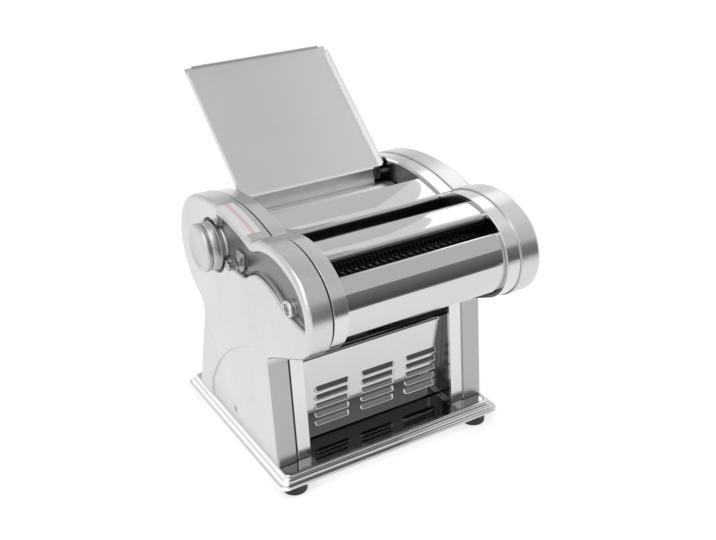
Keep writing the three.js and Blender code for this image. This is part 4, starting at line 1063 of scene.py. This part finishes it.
def hood(x, up):
    """One pressed louvre: a grid bent outwards towards its lower edge."""
    bm = bmesh.new()
    across, down, taper = 40, 12, 4.2
    bmesh.ops.create_grid(bm, x_segments=across, y_segments=down, size=1)
    for vert in bm.verts:
        s, t = vert.co.x, (1 - vert.co.y) / 2
        along = s * LOUVRE_LENGTH / 2
        end = max(0, (abs(along) - LOUVRE_LENGTH / 2 + taper) / taper)
        swell = math.sqrt(max(0, 1 - end * end))
        reach = 0.35 + 0.65 * swell
        drop = LOUVRE_RADIUS * (0.9 * reach - t * (0.9 * reach + 1.0 * (0.3 + 0.7 * swell)))
        curl = max(0, t - 0.84) / 0.16
        lift = 3.5 * swell * min(1, t * 1.12) ** 0.92 * (1 - 0.22 * curl * curl) - 0.3
        vert.co = on_vent(x + along, up + drop, lift)
    return faced(bm)


# %% Slit panel
def in_slit(x, first, second):
    """True if the row between two side-view points is slit open at x, behind a louvre."""
    up = ((Vector(first) + Vector(second)) / 2 - VENT_BOTTOM).dot(VENT_UP)
    return any(abs(x - side) < SLIT_HALF and abs(up - rise + SLIT_DROP) < SLIT_RISE
               for side, rise in LOUVRE_SPOTS)


def make_vent_panel():
    """Side view of the sheet, pushed along x in steps that meet the ends of the slits."""
    foot = arc((VENT_BOTTOM.x + 1.6, VENT_BOTTOM.y + 1.6), 1.6, 270, 182, 5)
    neck = arc((VENT_TOP.x + 4.4, VENT_TOP.y - 3.6), 4.4, 182, 110, 8)
    rows = sorted({up - SLIT_DROP + half for _, up in LOUVRE_SPOTS
                   for half in (-SLIT_RISE, SLIT_RISE)})
    line = [tuple(VENT_BOTTOM + Vector((9, 0))), *foot,
            *[tuple(VENT_BOTTOM + VENT_UP * up) for up in rows], *neck,
            tuple(VENT_TOP + Vector((10, 3.5)))]
    columns = sorted({x + half for x, _ in LOUVRE_SPOTS for half in (-SLIT_HALF, SLIT_HALF)})
    bm = bmesh.new()
    edges = line_of(bm, [at(-INNER_FACE, *spot) for spot in line])[1]
    reached = -INNER_FACE
    for x in columns + [INNER_FACE]:
        middle = (reached + x) / 2
        whole = [edge for edge in edges
                 if not in_slit(middle, *[spot_of(vert.co).yz for vert in edge.verts])]
        grown = bmesh.ops.extrude_edge_only(bm, edges=whole)
        moved = move_grown(bm, grown, ((x - reached) * MM, 0, 0))
        edges = [part for part in grown["geom"] if isinstance(part, bmesh.types.BMEdge)
                 and all(vert in moved for vert in part.verts)]
        for pair in zip(line, line[1:]):
            if in_slit(middle, *pair):
                edges.append(bm.edges.new([
                    min(moved, key=lambda vert: (vert.co - at(x, *spot)).length)
                    for spot in pair]))
        reached = x
    panel = walled(shown("vent_panel_skin", faced(bm), polished, 50), SHEET, 0, True)
    levelled(eased(panel, 0.25, 2, 50))
    hoods = joined(*[hood(x, up) for x, up in LOUVRE_SPOTS])
    hoods = walled(shown("vent_louvres", hoods, polished, 60), 0.8)
    worn_by(hoods, "frame", slot="polished_steel")
    return worn_by(panel, "frame", "vent_panel")


make_vent_panel()

# %% [markdown]
# ## Base pan
# The machine stands on a drawn steel pan: a rolled lip, a ledge, and the raised plateau
# with a bead round it. Rings of rounded rectangles, one for each change of direction,
# are bridged from the lip up to the plateau.

# %% Base pan
BASE_WIDTH, BASE_DEPTH, CORNER = 236, 211, 8
PAN_PROFILE = [
    (0.30, 0.0, 0), (0.0, 0.5, 0), (0.0, 2.4, 0), (0.25, 3.1, 0), (0.9, 3.6, 0),
    (2.3, 3.7, 1), (3.1, 4.0, 1), (3.7, 4.9, 1), (3.9, 5.9, 1), (4.1, 6.7, 1), (4.7, 7.2, 1),
    (5.6, 7.4, 2), (6.4, 7.9, 2), (6.9, 8.8, 2), (7.1, 9.7, 2), (7.4, 10.5, 2), (8.1, 10.9, 2),
    (9.2, 11.0, 2), (10.4, 10.7, 2), (11.6, 10.6, 2),
]


def rounded_rectangle(inset_x, inset_y, steps=8):
    """Corners of a rounded rectangle in plan, inset from the base's outline."""
    radius = max(2.0, CORNER - inset_x * 0.35)
    low_x, high_x = inset_x - BASE_WIDTH / 2 + radius, BASE_WIDTH / 2 - inset_x - radius
    low_y, high_y = inset_y + radius, BASE_DEPTH - inset_y - radius
    spots = []
    for x, y, start in ((high_x, high_y, 0), (low_x, high_y, 90), (low_x, low_y, 180),
                        (high_x, low_y, 270)):
        spots += arc((x, y), radius, start, start + 90, steps)
    return spots


def pan_finish():
    """Polished steel with painted light and shade: lighter along its left rim, and coloured dark
    between the legs.
    """
    finish = Finish("pan_steel", Metallic=1.0)
    x, y, _ = finish.axes()
    rim = finish.step(x, -108.5, -111)
    shade = finish.step(x.maths("ABSOLUTE"), 77.5, 76)
    shade = shade * finish.step(y, 8.5, 10.5)
    shade = shade * finish.step(y, 92, 90)
    finish.roughen(finish.smudge(), 0.35, 0.7, 0.065, 0.13)
    # painted light along the left rim, painted shade between the legs
    lit = finish.blend(rim, grey(0.56, 0.01), grey(0.86))
    finish.colour(shade, lit, grey(0.2, 0.02))
    finish.wave()
    return finish.material


def make_base_pan():
    bm = bmesh.new()
    loops = []
    for inset, height, zone in PAN_PROFILE:
        ring = rounded_rectangle(inset, max(inset * 0.75, inset - (1.5 if zone else 0)))
        loops.append(line_of(bm, [at(x, y, height) for x, y in ring], close=True))
    for (_, first), (_, second) in zip(loops, loops[1:]):
        bmesh.ops.bridge_loops(bm, edges=first + second)
    bmesh.ops.contextual_create(bm, geom=loops[-1][0] + loops[-1][1])
    pan = walled(shown("base_pan_skin", faced(bm), polished_pan, 50), 1.0)
    return worn_by(levelled(pan), "frame", "base_pan")


polished_pan = pan_finish()
make_base_pan()

# %% [markdown]
# ## Rollers and cutters
# Through the slots one sees the rollers. The two smooth ones are ground steel. The
# cutters are shafts full of rings: close ones for narrow noodles and wider ones for
# ribbons, each ring of one shaft turning in the groove of the other. They are lightly
# oiled and coloured nearly black: painted shade of the dark slots. One spun profile
# makes a whole shaft with all its rings.

# %% Rollers
def span_of(node):
    """Lowest and highest machine x of a node."""
    return [spot_of(corner).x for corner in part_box(node)]


ROLLER_END, RING_FOOT, RING_TOP = 75.6, 8.8, 10.8
FINE_PITCH, WIDE_PITCH = 4, 6.5


def ring_centres(pitch, shifted):
    count = int(ROLLER_END * 2 / pitch) - 1
    start = (pitch / 2 if shifted else 0) - count * pitch / 2
    return [start + (index + 0.25) * pitch for index in range(count)]


def make_sheet_roller(word, centre):
    low, high = span_of(f"sheet_roller_{word}")
    end = ROLLER_END
    roller = shown(f"sheet_roller_{word}_skin", turned([
        (low, 0), (low, 5), (-end, 5), (-end, 18.9), (-end + 0.6, 19.5), (end - 0.6, 19.5),
        (end, 18.9), (end, 5), (high, 5), (high, 0)], centre, 128), ground_steel)
    return worn_by(roller, f"{word}_roller", f"sheet_roller_{word}")


def make_cutter(kind, word, centre, pitch):
    low, high = span_of(f"{kind}_cutter_{word}")
    half, end, foot, edge = pitch / 4 - 0.16, ROLLER_END, RING_FOOT, 0.25
    profile = [(low, 0), (low, 4), (-end, 4), (-end, foot)]
    for x in ring_centres(pitch, word == "rear"):
        profile += [(x - half, foot), (x - half, RING_TOP - edge), (x - half + edge, RING_TOP),
                    (x + half - edge, RING_TOP), (x + half, RING_TOP - edge), (x + half, foot)]
    profile += [(end, foot), (end, 4), (high, 4), (high, 0)]
    cutter = shown(f"{kind}_cutter_{word}_skin", turned(profile, centre, 48), cutter_steel)
    return worn_by(cutter, f"{kind}_{word}", f"{kind}_cutter_{word}")


def roller_finish():
    """Ground steel: brush lines round the roller."""
    finish = Finish("ground_steel", Metallic=1.0)
    finish.colour(finish.brushed(0.2, (0.02, 1.0, 1.0)), grey(0.62), grey(0.62 * 0.9))
    return finish.material


ground_steel = roller_finish()
# the cutters are a nearly black copy of the gear steel: painted shade of the slots
cutter_steel = gear_steel("cutter_steel", 0.05, 0.42)
make_sheet_roller("rear", REAR_ROLLER)
make_sheet_roller("front", FRONT_ROLLER)
make_cutter("fine", "rear", FINE_REAR, FINE_PITCH)
make_cutter("fine", "front", FINE_FRONT, FINE_PITCH)
make_cutter("wide", "rear", WIDE_REAR, WIDE_PITCH)
make_cutter("wide", "front", WIDE_FRONT, WIDE_PITCH)


# %% Combs of the fine cutters
def make_comb(word, centre, shifted, angle):
    """Strip whose teeth reach into the grooves and lift the noodles out."""
    near, far, tip = 12.4, 17.4, 9.4
    spots = [(INNER_FACE, near), (INNER_FACE, far), (-INNER_FACE, far), (-INNER_FACE, near)]
    for x in ring_centres(FINE_PITCH, shifted)[1:]:
        groove = x - FINE_PITCH / 2
        spots += [(groove - 0.55, near), (groove - 0.45, tip), (groove + 0.45, tip),
                  (groove + 0.55, near)]
    turn = math.radians(angle)
    out = Vector((math.cos(turn), math.sin(turn)))
    side_way = Vector((-out.y, out.x))
    bm = bmesh.new()
    line = [(x, Vector(centre) + out * reach - side_way * 0.6) for x, reach in spots]
    outline_face(bm, [at(x, spot.x, spot.y) for x, spot in line])
    grown = bmesh.ops.extrude_face_region(bm, geom=bm.faces[:])
    move_grown(bm, grown, Vector((0, side_way.x, side_way.y)) * 1.2 * MM)
    comb = shown(f"fine_comb_{word}_skin", faced(bm), inner_gear)
    return worn_by(comb, "frame", f"fine_comb_{word}")


make_comb("rear", FINE_REAR, True, -50)
make_comb("front", FINE_FRONT, False, -130)

# %% [markdown]
# ## Knob and index plunger
# The thickness knob is a turned piece: a dished end face, a groove, a ribbed grip and a
# collar. Beside it a spring plunger stands in a small plate with a pointer tab. Its end
# is a six-sided button.

# %% Knob
def make_knob():
    profile = [(103.5, 0), (103.5, 21.2), (103.9, 21.6), (107.2, 21.6), (107.6, 21.3),
               (108.2, 21.3), (108.6, 22.0), (112.2, 22.0), (112.6, 21.55), (113.2, 21.55),
               (113.6, 22.0), (119.0, 22.0), (119.5, 21.8), (119.8, 21.3), (119.8, 20.2),
               (120.7, 20.2), (120.7, 21.2), (121.1, 21.7), (121.6, 21.9), (124.4, 21.9),
               (125.2, 21.6), (125.7, 21.0), (125.9, 20.2), (125.9, 16.6), (125.7, 16.1),
               (125.2, 15.4), (125.0, 14.4), (124.9, 0)]
    knob = shown("thickness_knob_skin", turned(profile, REAR_ROLLER, 128, -1),
                 knob_metal, 40)
    return worn_by(knob, "knob", "thickness_knob")


def knob_finish():
    """Turned metal: very fine ribs round the grip and turning marks on the end face."""
    finish = Finish("knob_metal", Metallic=1.0)
    centre = at(-116, *REAR_ROLLER)
    _, y, z = finish.axes(centre)
    radius = (y * y + z * z).maths("POWER", 0.5)
    ribs = (z.maths("ARCTAN2", y) * 120.0).maths("SINE") * radius.maths("GREATER_THAN", 0.0214)
    rings = finish.noise(finish.node("ShaderNodeCombineXYZ", None, {0: radius, 1: 0.0, 2: 0.0}),
                         2400.0, 2.0)
    cloud = finish.noise(finish.place(centre=centre), 40.0, 3.0)
    finish.roughen(cloud * 0.7 + rings * 0.3, 0.3, 0.7, 0.24, 0.32)
    finish.colour(cloud, grey(0.56), grey(0.52))
    finish.bump(ribs + rings * 0.1, 0.00006)
    return finish.material


knob_metal = knob_finish()
make_knob()


# %% Plunger, its collar and the screws
COLLAR_FACE = TROUGH_FACE + 2.2


def make_plunger():
    start = COLLAR_FACE + 3
    low = -span_of("index_plunger")[1]
    body = turned([
        (low, 0), (low, 2), (start, 2), (start, 4.6), (start + 0.4, 5), (start + 2.6, 5),
        (start + 3.0, 4.5), (start + 3.5, 4.5), (start + 4.5, 4.9), (start + 4.5, 3.0),
        (start + 5.5, 3.0), (start + 5.5, 0)], PLUNGER_SPOT, 48, -1)
    button = turned([
        (start + 4.4, 0), (start + 4.4, 3.8), (start + 8.4, 3.8), (start + 8.8, 3.5),
        (start + 9, 3.0), (start + 9, 0)], PLUNGER_SPOT, 6, -1)
    plunger = shown("index_plunger_skin", joined(body, button), dark_steel, 30)
    return worn_by(plunger, "plunger", "index_plunger")


def make_collar():
    """Plate round the plunger: its lower half is round, its upper half a pointer tab."""
    sketch = (arc(PLUNGER_SPOT, 7, 180, 360, 24) + arc((78, 198), 2, 0, 90, 6)
              + arc((68, 198), 2, 90, 180, 6))
    collar = shown("plunger_collar_skin", prism(sketch, -COLLAR_FACE, -TROUGH_FACE),
                   collar_steel, 30)
    carve(collar, [disc(-1, 2.25, 100, 120, PLUNGER_SPOT, 32)])
    return worn_by(eased(collar, 0.4), "frame", "plunger_collar")


def make_screw(name, side, centre, radius, seat, height):
    """Domed head with a cross recess."""
    low = min(abs(x) for x in span_of(name))
    top = seat + height
    head = [(seat, 0), (seat, radius - 0.2), (seat + 0.3, radius), (seat + height * 0.55, radius),
            (seat + height * 0.85, radius * 0.86), (top, radius * 0.55), (top, 0)]
    screw = shown(f"{name}_skin", turned(head, centre, 48, side), dark_steel, 30)
    carve(screw, [disc(side, 1.9, low, seat + 0.4, centre, 24)], "UNION")
    y, z = centre
    arm, wide = radius * 0.62, radius * 0.13
    for half_y, half_z in ((arm, wide), (wide, arm)):
        slot = [(y - half_y, z - half_z), (y + half_y, z - half_z), (y + half_y, z + half_z),
                (y - half_y, z + half_z)]
        carve(screw, [prism(slot, side * (top - height * 0.5), side * (top + 2))])
    return worn_by(eased(screw, 0.12, 2), "frame", name)


dark_steel = satin_steel("dark_steel", 0.38, 0.2)
collar_steel = satin_steel("collar_steel", 0.42, 0.3)
make_plunger()
make_collar()
for side_sign, side_word in SIDES:
    make_screw(f"cover_screw_{side_word}", side_sign, UPPER_SCREW[side_sign], 4.4, UPPER_SEAT, 2.2)
    make_screw(f"leg_screw_{side_word}", side_sign, LOWER_SCREW, 2.6, LOWER_SEAT, 1.2)

# %% [markdown]
# ## Feet
# Four rubber feet, slightly conical, with a rounded rim that grips the table and a
# recess with the screw that holds each one.

# %% Feet
def make_foot(name):
    low, high = [spot_of(corner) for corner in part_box(name)]
    x, y, top, bottom = (low.x + high.x) / 2, (low.y + high.y) / 2, high.z, low.z
    rubber = turned_up([
        (top, 0), (top, 12.1), (top - 0.4, 12.5), (top - 2.2, 12.5), (top - 2.6, 12.0),
        (bottom + 3.2, 11.1), (bottom + 1.0, 11.3), (bottom + 0.3, 10.9), (bottom, 10.2),
        (bottom, 6.2), (bottom + 0.5, 5.5), (bottom + 4, 5.4), (bottom + 4, 0)], x, y, 64)
    foot = shown(f"{name}_skin", rubber, foot_rubber, 40)
    fixing = turned_up([(bottom + 3.9, 0), (bottom + 3.9, 3.6), (bottom + 3.1, 3.4),
                        (bottom + 2.4, 2.2), (bottom + 2.2, 0)], x, y, 32)
    screw = shown(f"{name}_screw", fixing, dark_steel, 40)
    worn_by(screw, "frame", slot="gear_steel")
    return worn_by(foot, "frame", name)


for foot_name in ("foot_front_left", "foot_front_right", "foot_rear_left", "foot_rear_right"):
    make_foot(foot_name)

# %% [markdown]
# ## Blank sticker
# A strip of paper with a pale red middle is stuck on the left cover, over the rear lobe.
# A grid is bent along the crown, and Shrinkwrap then lays it on the cover, which a grid
# bent by sums alone would touch in some places and miss in others.

# %% Sticker
STICKER_RIGHT, STICKER_WIDTH = -96.4, 17.0
STICKER_BACK, STICKER_FRONT = 107, 53


def sticker_finish():
    finish = Finish("paper_sticker", Roughness=0.55)
    centre = at(-103.4, 80, 0)
    fibre = finish.noise(finish.place(centre=centre), 1500.0, 3.0)
    band = finish.axes(centre)[0].maths("ABSOLUTE")
    tint = finish.step(band, 2.4, 0.4)
    paper = finish.blend(fibre, grey(0.78), grey(0.70))
    finish.colour(tint * 0.5, paper, (0.72, 0.22, 0.2, 1))
    finish.bump(fibre, 0.00003, 0.4)
    return finish.material


def make_sticker():
    """Grid that follows the crown and bends down over the cover's rounded edge."""
    radius = REAR_CROWN_RADIUS + SWELL + 0.1
    bm = bmesh.new()
    bmesh.ops.create_grid(bm, x_segments=16, y_segments=28, size=0.5)
    back = on_crown(REAR_CROWN, radius, STICKER_BACK)
    front = on_crown(REAR_CROWN, radius, STICKER_FRONT)
    flat = COVER_FACE - EDGE_ROUND + STICKER_RIGHT
    for vert in bm.verts:
        across = STICKER_WIDTH * (vert.co.x + 0.5)
        angle = back + (front - back) * (vert.co.y + 0.5)
        bend = max(0, across - flat) / EDGE_ROUND
        x = STICKER_RIGHT - min(across, flat) - EDGE_ROUND * math.sin(bend)
        spot = polar(REAR_CROWN, radius - EDGE_ROUND * (1 - math.cos(bend)), angle)
        vert.co = at(x, *spot)
    sticker = shown("blank_sticker", faced(bm), sticker_finish())
    lie = sticker.modifiers.new("lie", "SHRINKWRAP")
    lie.target = bpy.data.objects["cover_left_skin"]
    lie.offset = 0.12 * MM
    lie.wrap_mode = "ABOVE_SURFACE"
    return worn_by(walled(sticker, 0.15, 0), "frame", slot="satin_aluminium")


make_sticker()

# %% [markdown]
# ## Tray brackets
# The tray stands on two small black blocks. A steel pin carries each block on its side
# plate, and a groove along the block's front marks where the tray's hem slides.

# %% Tray brackets
def make_bracket(side, word):
    block = shown(f"tray_bracket_{word}_skin", box_between(
        (side * 65.7, 136.6, 205.6), (side * 71.4, 143.4, 217.4)), moulded)
    carve(block, [box_between((side * 67.6, 136.0, 203), (side * 69.4, 137.4, 220))])
    eased(block, 0.5)
    worn_by(block, "frame", f"tray_bracket_{word}")
    pin = turned([(71.2, 0), (71.2, 2.6), (72.0, 2.6), (72.4, 2.1), (76.0, 2.1), (76.3, 2.6),
                  (INNER_FACE, 2.6), (INNER_FACE, 0)], (140, 211.5), 32, side)
    return worn_by(shown(f"tray_pin_{word}", pin, dark_steel), "frame", slot="gear_steel")


for side_sign, side_word in SIDES:
    make_bracket(side_sign, side_word)

# %% [markdown]
# ## Soft edges on the plain solids
# The tray, the rear panel and the parts behind it are right as they are. They only get
# what every real edge has, a small radius: Weld joins the loose triangles and Bevel
# rounds the edges that are left sharp.

# %% Edges of the CAD nodes
def soften(name, width, segments=2):
    """Weld and bevel on a CAD node, whose mesh itself stays as it is."""
    thing = frame["nodes"][name]
    weld = thing.modifiers.new("weld", "WELD")
    weld.merge_threshold = 0.00001
    bevel = thing.modifiers.new("edges", "BEVEL")
    bevel.width = width * MM
    bevel.segments = segments
    bevel.limit_method = "ANGLE"
    bevel.angle_limit = math.radians(40)
    bevel.use_clamp_overlap = True
    bevel.harden_normals = False


for node_name, width in (("feed_tray", 0.35), ("rear_panel", 0.25),
                         ("switch_frame", 0.4), ("switch_rocker", 0.4), ("scraper_rear", 0.2),
                         ("scraper_front", 0.2), ("gearbox", 0.8)):
    soften(node_name, width)
coat("feed_tray", tray_brushed)
print("edges softened")

# %% [markdown]
# ## Studio
# Metal shows the room more than itself. The world is plain white, as the photograph's
# background is, and the bands that make polished steel look like steel come from cards,
# as a photographer would hang: pale ones above, in front and behind, dark ones low in
# front, and a bright narrow one on the right as a window. They only show in reflections.

# %% World and floor
def add_world():
    """White surroundings, dimmer as a light than as a background."""
    scene.world = bpy.data.worlds.new("studio_world")
    scene.world.use_nodes = True
    room = Shading(scene.world.node_tree)
    seen = room.seen_by("Is Camera Ray", "Is Glossy Ray", "Is Transmission Ray")
    background = room.nodes["Background"]
    room.fill(background.inputs["Strength"], room.between(seen, 0.0, 1.0, 0.55, 1.0))
    background.inputs["Color"].default_value = (1, 1, 1, 1)


def floor_material():
    """Pale floor that shows as white and keeps the shadow."""
    finish = Finish("studio_floor", Roughness=0.9)
    finish.shader.inputs["Base Color"].default_value = (0.82, 0.82, 0.82, 1)
    finish.shader.inputs["Specular IOR Level"].default_value = 0.0
    seen = finish.seen_by("Is Camera Ray", "Is Glossy Ray")
    glow = finish.node("ShaderNodeEmission", None, {"Strength": seen * 0.55})
    diffuse = Signal(finish, finish.shader.outputs[0])
    finish.show(finish.node("ShaderNodeAddShader", None, {0: diffuse, 1: glow}))
    return finish.material


def stage_plane(name, width, height, centre, facing, material, roll=0):
    """A flat card or floor whose face looks along facing."""
    bm = bmesh.new()
    bmesh.ops.create_grid(bm, x_segments=1, y_segments=1, size=0.5)
    bmesh.ops.scale(bm, vec=(width, height, 1), verts=bm.verts)
    turn = Vector(facing).to_track_quat("Z", "Y").to_matrix().to_4x4()
    turn = turn @ Matrix.Rotation(math.radians(roll), 4, "Z")
    bmesh.ops.transform(bm, matrix=Matrix.Translation(centre) @ turn, verts=bm.verts)
    mesh = bpy.data.meshes.new(name)
    bm.to_mesh(mesh)
    bm.free()
    plane = bpy.data.objects.new(name, mesh)
    scene.collection.objects.link(plane)
    mesh.materials.append(material)
    return plane


add_world()
floor = stage_plane("floor", 12, 12, (0, 0, 0), (0, 0, 1), floor_material())
print("world and floor ready")

# %% Cards and lamps
AIM = Vector((0, 0, 0.15))


def card_material(name, level, top_level, low, high):
    """A card that shows a grey of its own, with a run from low to high up its height."""
    finish = Finish(name)
    shade = finish.between(finish.axes((0, 0, 0))[2], low, high, level, top_level)
    finish.show(finish.node("ShaderNodeEmission", None, {
        "Color": (1, 1, 1, 1), "Strength": shade}))
    return finish.material


def only_mirrored(plane):
    """The card shows in polished metal and nowhere else."""
    for kind in ("camera", "diffuse", "shadow", "transmission"):
        setattr(plane, f"visible_{kind}", False)
    return plane


def card(name, turn, rise, distance, width, height, level, roll=0):
    """Card at a compass turn from the front and a rise, facing the machine."""
    way = Vector((
        math.sin(math.radians(turn)) * math.cos(math.radians(rise)),
        -math.cos(math.radians(turn)) * math.cos(math.radians(rise)),
        math.sin(math.radians(rise)),
    ))
    return only_mirrored(stage_plane(name, width, height, AIM + way * distance, -way,
                                     card_material(name, level, level, 0, 1), roll))


def upright_card(name, x_range, y, z_range, level, top_level):
    """Upright card in front of the machine."""
    middle = at((x_range[0] + x_range[1]) / 2, y, 0)
    middle.z = sum(z_range) / 2
    return only_mirrored(stage_plane(
        name, (x_range[1] - x_range[0]) * MM, z_range[1] - z_range[0], middle, (0, 1, 0),
        card_material(name, level, top_level, *z_range)))


def lamp(name, place, size, power):
    """Soft rectangular lamp that looks at the machine."""
    light = bpy.data.lights.new(name, "AREA")
    light.shape = "RECTANGLE"
    light.size = size[0]
    light.size_y = size[1]
    light.energy = power
    made = bpy.data.objects.new(name, light)
    scene.collection.objects.link(made)
    made.location = place
    made.rotation_euler = (AIM - Vector(place)).to_track_quat("-Z", "Y").to_euler()
    return made


card("front_sky", 20, 40, 2.2, 2.2, 1.7, 0.72)
card("back_sky", 172, 33, 2.2, 2.2, 1.9, 0.78)
card("back_band", 166, 19, 2.1, 1.7, 0.22, 0.62)
card("overhead", 90, 80, 2.0, 2.4, 1.1, 0.56)
upright_card("dark_card", (-150, 500), -640, (0.0, 0.43), 0.10, 0.50)
upright_card("low_card", (20, 400), -300, (0.142, 0.325), 0.09, 0.26)
upright_card("foot_card", (-150, 500), -630, (0.0, 0.05), 0.26, 0.14)
card("window_card", 131.9, 40.5, 5.0, 0.38, 2.0, 2.6, roll=-35)
card("soft_box", -25, 40, 2.0, 0.3, 0.3, 3.0)
lamp("top_lamp", (-0.5, -0.5, 1.9), (1.2, 1.2), 9)
lamp("left_lamp", (-1.7, -0.9, 1.1), (0.9, 1.2), 5)
print("cards and lamps ready")
